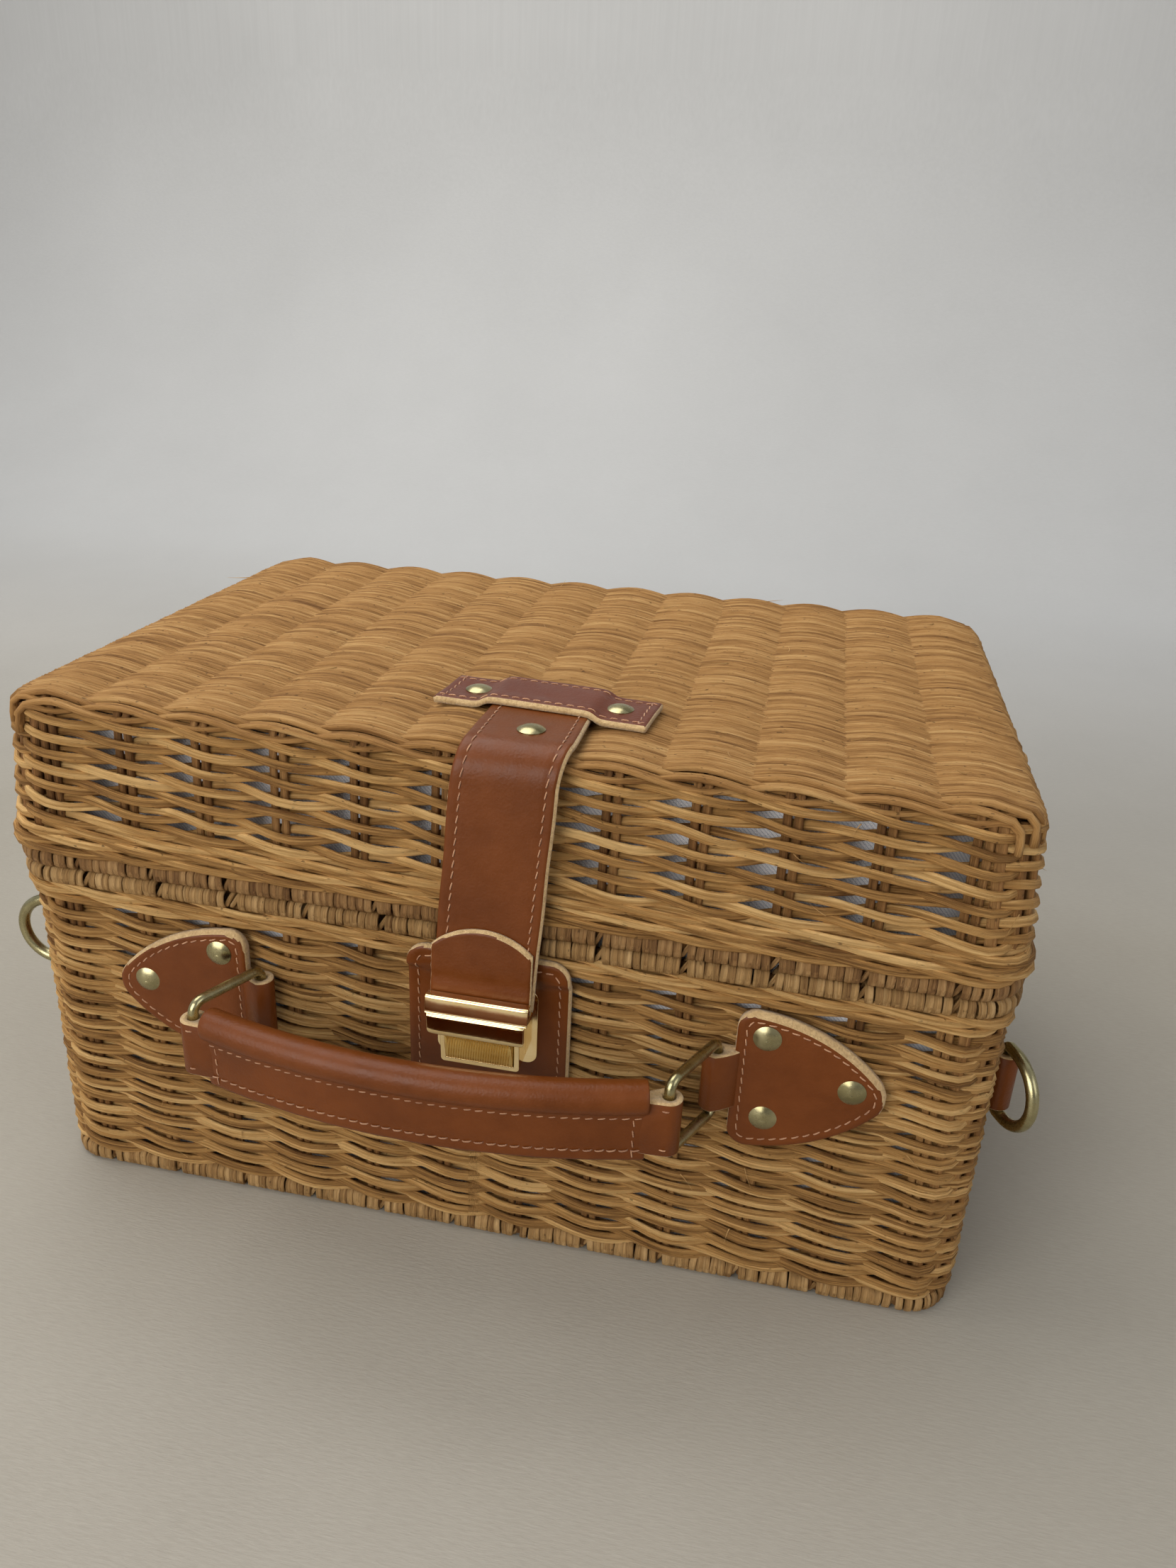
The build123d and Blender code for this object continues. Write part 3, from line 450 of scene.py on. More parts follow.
class Wall:
    """A woven wall: stakes round a rounded rectangle, which may change its size with height."""

    def __init__(self, low_size, high_size, z0, z1, radius, step=3.5):
        self.low, self.high, self.z0, self.z1, self.radius = low_size, high_size, z0, z1, radius
        self.count = int(2 * (low_size[0] + low_size[1]) / step)

    def size_at(self, z):
        t = np.clip((z - self.z0) / max(self.z1 - self.z0, 1e-6), 0, 1)
        return [a + t * (b - a) for a, b in zip(self.low, self.high)]

    def row(self, tubes, z, strands, reach, climb, half_out, half_high, period=2, reeds=1, reed_gap=0.0,
            push=0.0, shift=0.0, waver=0.25, flat=2.0):
        """One row of strands that pass in front of and behind the stakes, and climb over each other."""
        width, depth = self.size_at(z)
        points, normals, _ = loop_points(width, depth, self.radius, self.count)
        index = stake_index(points, width, depth)
        sway = wander(self.count, waver * 0.6)
        for k in range(strands):
            phase = 2 * np.pi * (index + shift) / period + 2 * np.pi * k / strands
            out = reach * np.cos(phase) + push + wander(self.count, 0.10)
            up = -climb * np.sin(phase) + sway + wander(self.count, waver * 0.5)
            for r in range(reeds):
                tone = rng.uniform()
                offset = (r - (reeds - 1) / 2) * reed_gap
                lean = 0.12 * math.sin(9.1 * r + k)
                path = np.zeros((self.count, 3))
                path[:, :2] = points + (out + lean)[:, None] * normals
                path[:, 2] = z + up + offset + (wander(self.count, 0.10) if reeds > 1 else 0)
                thick = 1 + wander(self.count, 0.045)
                normal = np.column_stack([normals, np.zeros(self.count)])
                tubes.add(path, normal, half_out * thick, half_high * thick, closed=True, tone=tone,
                          flat=flat)

    def stakes(self, tubes, z_low, z_high, half=1.12, fan=1.2, bend=0.0, edge=0.0):
        """Two canes side by side at each stake; with bend they turn over the top edge."""
        low = stake_places(*self.size_at(z_low))
        high = stake_places(*self.size_at(z_high))
        for (x0, y0, nx, ny), (x1, y1, _, _) in zip(low, high):
            for side in (-1, 1):
                jitter = rng.uniform(-0.25, 0.25, 2)
                across = np.array([-ny, nx, 0.0]) * side * fan
                t = np.linspace(0, 1, 12)[:, None]
                path = np.array([x0, y0, z_low]) * (1 - t) + np.array([x1, y1, z_high]) * t
                path = path + across + across * (jitter[0] * np.sin(np.pi * t)) * 0.4
                normal = np.tile(np.array([nx, ny, 0.0]), (len(path), 1))
                if bend:
                    turn = np.linspace(0, np.pi / 2, 6)[1:, None]
                    out = np.array([nx, ny, 0.0])
                    top = path[-1]
                    arc = top - out * edge * (1 - np.cos(turn)) + np.array([0, 0, edge]) * np.sin(turn)
                    run = arc[-1] - out * np.linspace(2, bend, 4)[:, None]
                    path = np.concatenate([path, arc, run])
                    arc_normal = out * np.cos(turn) + np.array([0, 0, 1.0]) * np.sin(turn)
                    normal = np.concatenate([normal, arc_normal, np.tile([0, 0, 1.0], (4, 1))])
                tubes.add(path, normal, half * 0.9, half, tone=rng.uniform(0.0, 1.0))


CANE_HALF = 1.5


def corner_canes(tubes, wall, z_low, z_high):
    """Canes beside each corner post, which close the corner behind the weavers."""
    for sx in (-1, 1):
        for sy in (-1, 1):
            for turn in (0.12, 0.5, 0.88):
                a = turn * np.pi / 2
                path = []
                for z in np.linspace(z_low, z_high, 8):
                    w, d = wall.size_at(z)
                    reach = wall.radius - 0.6
                    path.append((sx * (w / 2 - wall.radius + reach * math.cos(a)),
                                 sy * (d / 2 - wall.radius + reach * math.sin(a)), z))
                out = np.array([sx * math.cos(a), sy * math.sin(a), 0.0])
                tubes.add(np.array(path), out, CANE_HALF, CANE_HALF * 1.1, tone=rng.uniform(0.2, 0.9))


STRIP, WRAP_THICK = 2.15, 1.1


def wrapped_border(tubes, width, depth, radius, z_low, z_high, thick, depth_in=5.0):
    """A border wrapped with flat strips of cane, in groups parted by a notch at each stake."""
    middle = (z_low + z_high) / 2
    half_high = (z_high - z_low) / 2
    points, normals, total = loop_points(width - depth_in, depth - depth_in, max(radius - depth_in / 2, 2),
                                         2400)
    count = int(total / STRIP)
    angle = np.linspace(0, 2 * np.pi, 15)[:-1]
    for k in range(count):
        at = (k + rng.uniform(-0.13, 0.13)) * total / count
        near_notch = abs((at / STAKE_PITCH) % 1.0 - 0.5) * STAKE_PITCH
        i = int(at / total * len(points)) % len(points)
        p, out = points[i], normals[i]
        way = np.array([-out[1], out[0]])
        at_notch = near_notch < STRIP * 0.5
        lift = 0.0 if at_notch else rng.uniform(-0.06, 0.10)
        sink = -1.1 if at_notch else 0.0
        slant = rng.uniform(-0.07, 0.07) + (0.5 if at_notch else 0.0)
        reach_out = depth_in / 2 + thick * 0.35 + lift + sink
        c = np.sign(np.cos(angle)) * np.abs(np.cos(angle)) ** 0.62
        v = np.sign(np.sin(angle)) * np.abs(np.sin(angle)) ** 0.62
        offset = slant * v * half_high
        path = np.zeros((len(angle), 3))
        path[:, :2] = p + (c * reach_out)[:, None] * out + offset[:, None] * way
        path[:, 2] = middle + v * (half_high - 0.4 + 0.3 * lift)
        outward = np.zeros_like(path)
        outward[:, :2] = c[:, None] * out
        outward[:, 2] = v
        half = STRIP * (0.32 if at_notch else rng.uniform(0.50, 0.56))
        tubes.add(path, outward, thick * 0.5, half, closed=True, tone=rng.uniform(), flat=3.4)


# body sizes, from the CAD solids
body_low, body_high = low_high("body_weave")
waling_low, waling_high = low_high("body_waling")
rim_low, rim_high = low_high("body_rim_border")
foot_low, foot_high = low_high("foot_border")
lid_rows_low, lid_rows_high = low_high("lid_weave")
lid_waling_low, lid_waling_high = low_high("lid_waling")
lid_border_low, lid_border_high = low_high("lid_border")
lid_top_high = low_high("lid_top_weave")[1]
WALL = 5.0
CORNER = 14.0
MID_RADIUS = CORNER - WALL / 2

body_size = [2 * body_high[0] - WALL, 2 * body_high[1] - WALL]
body = Wall(body_size, body_size, body_low[2], body_high[2], MID_RADIUS)

# the body's rows of doubled reeds, the wider first rows at the foot, and the bulging rows under the rim
ROW_PITCH = 4.95
FOOT_ROWS = 3
row_start = foot_high[2] + 2.4
row_count = int((waling_low[2] - row_start) / ROW_PITCH) + 1
pitch = (waling_low[2] + 0.2 - row_start) / row_count
bands = {"low": Tubes(8), "high": Tubes(8)}
for k in range(row_count):
    reach, climb = (2.1, 1.25) if k < FOOT_ROWS else (1.95, 1.05)
    band = bands["low" if k < row_count // 2 else "high"]
    body.row(band, row_start + k * pitch, 2, reach, climb, 0.95, 0.84, reeds=2, reed_gap=1.52, waver=0.42)
for band, tubes in bands.items():
    obj = tubes.build("body_reeds_" + band, REED)
    place(obj, "basket", "reed", *(["body_weave"] if band == "low" else []))

tubes = Tubes(8)
for k, (push, reach) in enumerate(((0.5, 2.2), (1.0, 2.3))):
    body.row(tubes, waling_low[2] + 1.7 + 3.1 * k, 3, reach, 1.15, 1.2, 1.25, period=3, push=push, waver=0.18,
             shift=0.5 * k)
place(tubes.build("body_waling_reeds", REED), "basket", "reed", "body_waling")

tubes = Tubes(8)
body.stakes(tubes, 2.0, rim_low[2] + 3.0)
corner_canes(tubes, body, foot_high[2] - 1.0, rim_low[2] + 2.0)
place(tubes.build("body_stakes", STAKE), "basket", "reed")

tubes = Tubes(8)
wrapped_border(tubes, 2 * rim_high[0], 2 * rim_high[1], CORNER + 1, rim_low[2], rim_high[2],
               WRAP_THICK)
place(tubes.build("body_border_wraps", WRAP), "basket", "reed", "body_rim_border")

tubes = Tubes(8)
wrapped_border(tubes, 2 * foot_high[0] + 1.2, 2 * foot_high[1] + 1.2, CORNER - 1.4, foot_low[2],
               foot_high[2] + 0.5, WRAP_THICK, depth_in=6.0)
place(tubes.build("foot_wraps", WRAP), "basket", "reed", "foot_border")

# the lid's walls of single reeds
low_size = [2 * lid_rows_high[0] - WALL, 2 * lid_rows_high[1] - WALL]
high_size = [2 * lid_top_high[0] - WALL, 2 * lid_top_high[1] - WALL]
lid_wall = Wall(low_size, high_size, lid_rows_low[2], lid_rows_high[2], MID_RADIUS)
LID_ROWS = 7
lid_pitch = (lid_rows_high[2] - lid_rows_low[2] - 3.6) / (LID_ROWS - 1)
tubes = Tubes(8)
for k in range(LID_ROWS):
    lid_wall.row(tubes, lid_rows_low[2] + 2.0 + k * lid_pitch, 2, 2.05, 1.30, 1.15, 1.40, waver=0.45)
place(tubes.build("lid_reeds", REED), "lid", "reed", "lid_weave")

tubes = Tubes(8)
for k, (push, reach) in enumerate(((1.2, 2.1), (0.9, 2.2), (0.1, 2.2))):
    lid_wall.row(tubes, lid_waling_low[2] + 1.5 + 2.75 * k, 3, reach, 1.1, 1.2, 1.25, period=3, push=push,
                 waver=0.2, shift=0.7 * k)
place(tubes.build("lid_waling_reeds", REED), "lid", "reed", "lid_waling")

tubes = Tubes(8)
lid_wall.stakes(tubes, lid_border_low[2] + 2.5, lid_rows_high[2] - 0.4, half=1.2, fan=1.45, bend=9.0,
                edge=3.6)
corner_canes(tubes, lid_wall, lid_border_low[2] + 2.5, lid_rows_high[2] + 0.5)
place(tubes.build("lid_stakes", STAKE), "lid", "reed")

tubes = Tubes(8)
wrapped_border(tubes, 2 * lid_border_high[0], 2 * lid_border_high[1], CORNER, lid_border_low[2],
               lid_border_high[2], WRAP_THICK)
place(tubes.build("lid_border_wraps", WRAP_RED), "lid", "reed", "lid_border")

# ---------------------------------------------------------------- lid top
TOP_PITCH = 3.05
EDGE = 4.6
top_z = lid_top_high[2] - 2.6
half_w, half_d = lid_top_high[0] - 1.3, lid_top_high[1] - 1.3
TOP_REACH, TOP_CLIMB, TOP_DROP = 1.75, 0.95, 4.0
TOP_HALF_OUT, TOP_HALF_ACROSS = 0.95, 0.88


def top_row(tubes, y, z):
    """One twined row across the lid's top, whose ends turn down over the side edges."""
    near_edge = max(0.0, abs(y) - (half_d - CORNER + 3))
    inset = CORNER - 3 - math.sqrt(max((CORNER - 3) ** 2 - near_edge ** 2, 0))
    w = half_w - inset
    flat_end = w - EDGE
    arc = EDGE * np.pi / 2
    total = 2 * (flat_end + arc + TOP_DROP)
    n = int(total / 3.0)
    s = np.linspace(-total / 2, total / 2, n)
    a = np.abs(s)
    sign = np.sign(s)
    turn = np.clip((a - flat_end) / EDGE, 0, np.pi / 2)
    x = np.where(a < flat_end, a, flat_end + EDGE * np.sin(turn))
    down = np.where(a < flat_end, 0, EDGE * (1 - np.cos(turn)) + np.clip(a - flat_end - arc, 0, None))
    out = np.column_stack([sign * np.sin(turn), np.zeros(n), np.cos(turn)])
    index = s / STAKE_PITCH - 0.5
    fade = np.clip((flat_end + 2 - a) / 8.0, 0.25, 1.0)
    waver = np.interp(s, np.linspace(-total / 2, total / 2, 14), rng.normal(0, 0.22, 14))
    for k in range(2):
        phase = np.pi * (index + k)
        lift = TOP_REACH * np.cos(phase) * fade + rng.normal(0, 0.06)
        slide = -TOP_CLIMB * np.sin(phase) * fade
        for offset in (-0.75, 0.75):
            path = np.column_stack([sign * x, np.full(n, y) + slide + offset + waver, z - down])
            path = path + lift[:, None] * out
            tubes.add(path, out, TOP_HALF_OUT * rng.uniform(0.9, 1.1),
                      TOP_HALF_ACROSS * rng.uniform(0.88, 1.08), tone=rng.uniform())


rows = int(2 * half_d / TOP_PITCH)
halves = {"front": Tubes(6), "back": Tubes(6)}
for k in range(rows + 1):
    y = -half_d + 1.0 + k * (2 * half_d - 2.0) / rows
    edge_drop = max(0.0, abs(y) - (half_d - EDGE))
    z = top_z - (EDGE - math.sqrt(max(EDGE ** 2 - edge_drop ** 2, 0.0))) * 0.9
    top_row(halves["front" if y < 0 else "back"], y, z)
for half, tubes in halves.items():
    obj = tubes.build("lid_top_reeds_" + half, SHADED_TOP_REED)
    place(obj, "lid", "reed", *(["lid_top_weave"] if half == "front" else []))


# ---- stray fibres that stand off the split canes
def fibres(name, body_name, count, spots):
    """Fine hairs that curl and end in a point; spots() gives a place and its outward way."""
    tubes = Tubes(5)
    for _ in range(count):
        start, out = spots()
        along = np.cross(out, rng.normal(size=3))
        along /= np.linalg.norm(along)
        length = rng.uniform(3, 9)
        t = np.linspace(0, 1, 8)[:, None]
        curl = np.cross(out, along) * rng.uniform(-1.2, 1.2)
        path = start + along * length * t + out * (0.4 + rng.uniform(0.3, 1.6) * t ** 1.5) + curl * t ** 2
        thin = rng.uniform(0.09, 0.17) * (1.15 - t[:, 0])
        tubes.add(path, out, thin, thin, tone=rng.uniform(0.6, 1.0))
    place(tubes.build(name, REED), body_name, "reed")


def lid_spot():
    if rng.uniform() < 0.55:
        x, y = rng.uniform(-0.97, 0.97) * half_w, rng.uniform(-0.97, 0.97) * half_d
        return np.array([x, y, lid_top_high[2] - 0.4]), np.array([0.0, 0.0, 1.0])
    z = rng.uniform(lid_waling_low[2], lid_rows_high[2])
    return wall_spot(lid_wall, z)


def wall_spot(wall, z):
    width, depth = wall.size_at(z)
    points, normals, _ = loop_points(width, depth, wall.radius, 400)
    k = rng.integers(0, 400)
    out = np.array([normals[k][0], normals[k][1], 0.0])
    return np.array([points[k][0], points[k][1], z]) + out * 2.2, out


fibres("lid_fibres", "lid", 90, lid_spot)
fibres("body_fibres", "basket", 60, lambda: wall_spot(body, rng.uniform(body_low[2] + 3, waling_high[2])))

# ---------------------------------------------------------------- base
BASE_PITCH = 4.6
base_low, base_high = low_high("base_weave")
tubes = Tubes(6)
base_rows = int(2 * base_high[1] / BASE_PITCH)
for k in range(base_rows):
    y = base_low[1] + BASE_PITCH / 2 + k * (2 * base_high[1] - BASE_PITCH) / (base_rows - 1)
    x = np.linspace(base_low[0] + 0.8, base_high[0] - 0.8, 84)
    for strand in range(2):
        phase = np.pi * (x / STAKE_PITCH - 0.5 + strand)
        path = np.column_stack([x, y - 1.1 * np.sin(phase), 2.6 + 1.3 * np.cos(phase)])
        tubes.add(path, (0, 0, 1), 1.1, 1.6)
for k in range(STAKES_WIDE):
    x = (k - (STAKES_WIDE - 1) / 2) * STAKE_PITCH
    for side in (-1.2, 1.2):
        path = np.column_stack([np.full(20, x + side), np.linspace(base_low[1], base_high[1], 20),
                                np.full(20, 2.6)])
        tubes.add(path, (0, 0, 1), 0.9, 1.1)
place(tubes.build("base_reeds", REED), "basket", "reed", "base_weave")

# ---------------------------------------------------------------- linings
def lining(name, node, body_name, open_top):
    """A cloth box sewn from panels: it bellies a little between the stakes it is sewn to."""
    low, high = low_high(node)
    inset = 0.5
    width, depth = high[0] - low[0] - 2 * inset, high[1] - low[1] - 2 * inset
    n = 260
    points, normals, _ = loop_points(width, depth, 22.0, n)
    index = stake_index(points, width, depth)
    floor_z, mouth_z = (low[2] + inset, high[2] - 0.2) if open_top else (high[2] - inset, low[2] + 0.2)
    verts = [np.column_stack([points * shrink, np.full(n, floor_z)]) for shrink in (0.3, 0.6, 0.86)]
    for t in np.linspace(0, 1, 16):
        belly = -0.35 * np.sin(np.pi * t) * (0.5 - 0.5 * np.cos(2 * np.pi * index))
        ring = points + belly[:, None] * normals
        verts.append(np.column_stack([ring, np.full(n, floor_z + t * (mouth_z - floor_z))]))
    faces = bridge(len(verts), n) + [row_face(0, n)[::-1]]
    obj = add_mesh(name, np.concatenate(verts), faces, [TWILL])
    skin = obj.modifiers.new("cloth", "SOLIDIFY")
    skin.thickness = 0.45 * MM
    skin.offset = 0
    place(obj, body_name, "lining_twill", node)


lining("body_lining_cloth", "body_lining", "basket", True)
lining("lid_lining_cloth", "lid_lining", "lid", False)


# ---------------------------------------------------------------- leather
def polyline(points, step=1.2, closed=True):
    """Even points along straight runs."""
    points = np.asarray(points, float)
    ends = np.roll(points, -1, 0) if closed else points[1:]
    out = []
    for a, b in zip(points, ends):
        n = max(1, int(math.ceil(np.linalg.norm(b - a) / step)))
        out.extend(a + (b - a) * t for t in np.arange(n) / n)
    if not closed:
        out.append(points[-1])
    return np.array(out)


def rounded(width, height, radius, centre=(0, 0), step=0.9):
    """Outline of a rounded rectangle, counter-clockwise."""
    w, h = width / 2 - radius, height / 2 - radius
    out = []
    for k, (cx, cy) in enumerate(((w, h), (-w, h), (-w, -h), (w, -h))):
        for t in np.linspace(0, np.pi / 2, 7):
            a = k * np.pi / 2 + t
            out.append((centre[0] + cx + radius * math.cos(a), centre[1] + cy + radius * math.sin(a)))
    return polyline(out, step)


def signed_area(p):
    return 0.5 * float((p[:, 0] * np.roll(p[:, 1], -1) - np.roll(p[:, 0], -1) * p[:, 1]).sum())


def counter_clockwise(outline):
    return outline if signed_area(outline) > 0 else outline[::-1]


def inward(p, distance):
    """The outline moved inwards; each corner keeps its angle."""
    before, after = p - np.roll(p, 1, 0), np.roll(p, -1, 0) - p
    before /= np.linalg.norm(before, axis=1)[:, None]
    after /= np.linalg.norm(after, axis=1)[:, None]
    n1 = np.stack([-before[:, 1], before[:, 0]], 1)
    n2 = np.stack([-after[:, 1], after[:, 0]], 1)
    mid = n1 + n2
    mid /= np.linalg.norm(mid, axis=1)[:, None]
    return p + distance * mid / np.clip((mid * n1).sum(1), 0.5, 1)[:, None]


def edge_frame(points, outline):
    """How far each point is from an outline, and the outline's outward direction there."""
    a, b = outline, np.roll(outline, -1, 0)
    ab = b - a
    t = ((points[:, None] - a) * ab).sum(2) / (ab ** 2).sum(1)
    near = a + np.clip(t, 0, 1)[:, :, None] * ab
    distance = np.sqrt(((points[:, None] - near) ** 2).sum(2))
    out = np.stack([ab[:, 1], -ab[:, 0]], 1) / np.linalg.norm(ab, axis=1)[:, None]
    return distance.min(1), out[distance.argmin(1)]


def within(points, outline):
    """Which points lie inside an outline."""
    x, y = points[:, 0][:, None], points[:, 1][:, None]
    a, b = outline, np.roll(outline, -1, 0)
    crosses = (a[:, 1] > y) != (b[:, 1] > y)
    at = a[:, 0] + (y - a[:, 1]) * (b[:, 0] - a[:, 0]) / np.where(b[:, 1] == a[:, 1], 1e-9, b[:, 1] - a[:, 1])
    return (crosses & (x < at)).sum(1) % 2 == 1


def panel(name, outline, lay, thickness, grid=1.8, stitch=None, crown=0.0, material=None, worn=(0, 0),
          bare=1.2):
    """Leather cut to an outline. lay(u, v, h) puts the flat piece in space, h above its back face.
    The cut edge is skived: it slopes and shows its pale middle on the sides that face worn."""
    outline = counter_clockwise(outline)
    rings = [0.0, 0.22, 0.6, 0.95, 1.35] + ([stitch - 0.6, stitch, stitch + 0.6] if stitch else [])
    points = [outline]
    for distance in rings[1:]:
        ring = inward(outline, distance)
        keep = edge_frame(ring, outline)[0] > distance * 0.96
        points.append(ring[keep & within(ring, outline)])
    low, high = outline.min(0), outline.max(0)
    gu, gv = np.meshgrid(np.arange(low[0], high[0], grid), np.arange(low[1], high[1], grid))
    inner = np.column_stack([gu.ravel(), gv.ravel()])
    inner = inner[within(inner, outline)]
    inner = inner[edge_frame(inner, outline)[0] > rings[-1] + 0.5 * grid]
    points.append(inner)
    flat = np.concatenate(points)
    m = len(outline)
    loop = [(k, (k + 1) % m) for k in range(m)]
    found = delaunay_2d_cdt([Vector(p) for p in flat], loop, [], 1, 1e-5)
    flat = np.array([(p[0], p[1]) for p in found[0]])
    triangles = [t for t in found[2] if len(t) == 3]
    distance, out = edge_frame(flat, outline)
    weight = np.clip((out * np.array(worn, float)).sum(1), 0, 1)
    skive = 0.16 + (bare - 0.16) * weight
    height = thickness - (1 - weight) * 0.36 * np.exp(-(distance / 0.38) ** 1.5)
    height -= weight * 0.42 * thickness * np.clip(1 - distance / skive, 0, 1)
    if stitch:
        height -= 0.22 * np.exp(-((distance - stitch) / 0.55) ** 2)
        height += 0.10 * np.exp(-((distance - stitch) / 1.6) ** 2)
    if crown:
        height += crown * (1 - np.exp(-(distance / 7.0) ** 2))
    top = np.array([lay(u, v, h) for (u, v), h in zip(flat, height)])
    bottom = np.array([lay(u, v, 0.0) for u, v in flat])
    n = len(flat)
    faces = [list(t) for t in triangles]
    pale = distance < skive + 0.02
    kinds = [1 if pale[list(t)].all() else 0 for t in triangles]
    boundary = {}
    for t in triangles:
        for a, b in zip(t, list(t[1:]) + [t[0]]):
            boundary[(a, b)] = boundary.get((a, b), 0) + 1
    rim = [(a, b) for a, b in boundary if (b, a) not in boundary]
    faces += [[k + n for k in t][::-1] for t in triangles]
    kinds += [1] * len(triangles)
    on_rim = sorted({a for a, _ in rim})
    middle_of = {a: 2 * n + k for k, a in enumerate(on_rim)}
    middle = []
    for a in on_rim:
        centre = flat.mean(0)
        way = flat[a] - centre
        rough = 0.18 + 0.08 * math.sin(flat[a][0] * 3.1 + flat[a][1] * 2.3)
        way = way / max(np.linalg.norm(way), 1e-6) * rough
        middle.append(lay(flat[a][0] + way[0], flat[a][1] + way[1], thickness * 0.48))
    for a, b in rim:
        faces.append([b, a, middle_of[a], middle_of[b]])
        faces.append([middle_of[b], middle_of[a], a + n, b + n])
        kinds += [1, 1]
    verts = np.concatenate([top, bottom, np.array(middle).reshape(-1, 3)])
    return add_mesh(name, verts, faces, [material or LEATHER, RAW], kinds)


def stitches(tubes, path, lay, height, pitch=3.2, length=2.45, radius=0.2, closed=False):
    """Short lengths of thread along a path: each one dives into the leather at both ends."""
    path = np.asarray(path, float)
    if closed:
        path = np.concatenate([path, path[:1]])
    step = np.linalg.norm(np.diff(path, axis=0), axis=1)
    s = np.concatenate([[0], np.cumsum(step)])
    count = max(1, int(round(s[-1] / pitch)))
    for k in range(count):
        start = (k + 0.5) * s[-1] / count - length / 2 + rng.uniform(-0.12, 0.12)
        at = start + np.linspace(0, length, 7)
        t = np.linspace(-1, 1, 7)
        u = np.interp(at, s, path[:, 0])
        v = np.interp(at, s, path[:, 1])
        way = np.array([u[-1] - u[0], v[-1] - v[0]])
        way /= max(np.linalg.norm(way), 1e-6)
        tilt = 0.20 * t
        u, v = u - way[1] * tilt, v + way[0] * tilt
        h = height + 0.20 - (radius * 2.1) * np.abs(t) ** 4
        points = np.array([lay(a, b, c) for a, b, c in zip(u, v, h)])
        above = np.array([lay(a, b, c + 1.0) for a, b, c in zip(u, v, h)])
        tubes.add(points, above - points, radius, radius * 1.05, tone=rng.uniform(0.3, 0.9), taper=0.7)


def sew(name, body_name, lines, **settings):
    """Rows of stitches as one piece; each row is a path, the way it is laid and its height."""
    thread = Tubes(6)
    for path, lay, height in lines:
        stitches(thread, path, lay, height, **settings)
    piece = thread.build(name, THREAD)
    if body_name:
        place(piece, body_name, "leather")
    return piece


def on_front(face):
    """Lays a flat piece (u, v) on the front wall: u is X, v is Z, and h comes forwards from y = -face."""
    return lambda u, v, h: (u, -face - h, v)


# ---- handle pads
HANDLE_X = 1.9
PAD_BACK = -low_high("pad_left")[1][1]
PAD_THICK = 3.0
PAD_Z = 78.2
TUBE_REACH = 67.3
TUBE_RADIUS = 3.7
BORE = 1.9
TUBE_HEIGHT = 18.5
pad_low, pad_high = low_high("pad_right")
PAD_HALF = (pad_high[2] - pad_low[2]) / 2
PAD_START, PAD_TIP, PAD_CORNER, PAD_SHOULDER = 72.3, 114.0, 5.0, 17.0
PAD_SIDE = (103.2, 13.2)
PAD_TIP_DEPTH, PAD_TIP_HALF = 2.2, 5.6

ROUND = np.linspace(0, 2 * np.pi, 33)[:-1]
CIRCLE = np.column_stack([np.cos(ROUND), np.sin(ROUND)])


def arc_through(a, b, c, n):
    """n points on the circle through three points, from a to c."""
    a, b, c = (np.array(p, float) for p in (a, b, c))
    m = np.array([b - a, c - a])
    centre = a + np.linalg.solve(m, 0.5 * (m ** 2).sum(1))
    angles = [math.atan2(*(p - centre)[::-1]) for p in (a, b, c)]
    turn = (angles[2] - angles[0]) % (2 * np.pi)
    if (angles[1] - angles[0]) % (2 * np.pi) > turn:
        turn -= 2 * np.pi
    radius = np.linalg.norm(a - centre)
    t = angles[0] + turn * np.linspace(0, 1, n)
    return centre + radius * np.column_stack([np.cos(t), np.sin(t)])


def pad_outline():
    """A leaf: straight where the tube joins it, and rounded at the far end."""
    start = (PAD_START + PAD_CORNER, PAD_HALF)
    tip_side = (PAD_TIP - PAD_TIP_DEPTH, PAD_TIP_HALF)
    top = arc_through(start, PAD_SIDE, tip_side, 34)
    tip = arc_through(tip_side, (PAD_TIP, 0), (tip_side[0], -tip_side[1]), 14)
    low = top[::-1] * (1, -1)
    k = (PAD_START + 0.3 * PAD_CORNER, PAD_SHOULDER + 0.68 * (PAD_HALF - PAD_SHOULDER))
    corner = arc_through((PAD_START, PAD_SHOULDER), k, start, 8)
    neck = polyline([(PAD_START, -PAD_SHOULDER), (PAD_START, PAD_SHOULDER)], 1.2, closed=False)
    low_corner = corner[::-1] * (1, -1)
    return np.concatenate([top[:-1], tip[:-1], low[:-1], low_corner[:-1], neck[:-1], corner[:-1]])


def drawn_out(bar, radius, way, start, ease, tail):
    """A circle whose points on the side of way are drawn out; tail gives the place that each one goes to."""
    outer = bar + radius * CIRCLE
    for k, c in enumerate(CIRCLE):
        t = min(1.0, (float(c @ way) - start) / ease)
        if t > 0:
            outer[k] = outer[k] * (1 - t) + np.array(tail(c)) * t
    return outer


def fold(name, outer, inner, z_low, z_high, body_name, *nodes):
    """Leather folded round a bar: closed outlines in X and Y with as many points outside as inside."""
    n = len(outer)
    eased = outer + 0.05 * (inner.mean(0) - outer)
    rows = [(z_low + 0.25, outer), (z_low, eased), (z_low, inner), (z_high, inner), (z_high, eased),
            (z_high - 0.25, outer)]
    verts = np.concatenate([np.column_stack([loop, np.full(n, z)]) for z, loop in rows])
    kinds = [1] * (5 * n) + [0] * n
    obj = add_mesh(name, verts, bridge(6, n, turned=True, ring=True), [LEATHER, RAW], kinds)
    place(obj, body_name, "leather", *nodes)


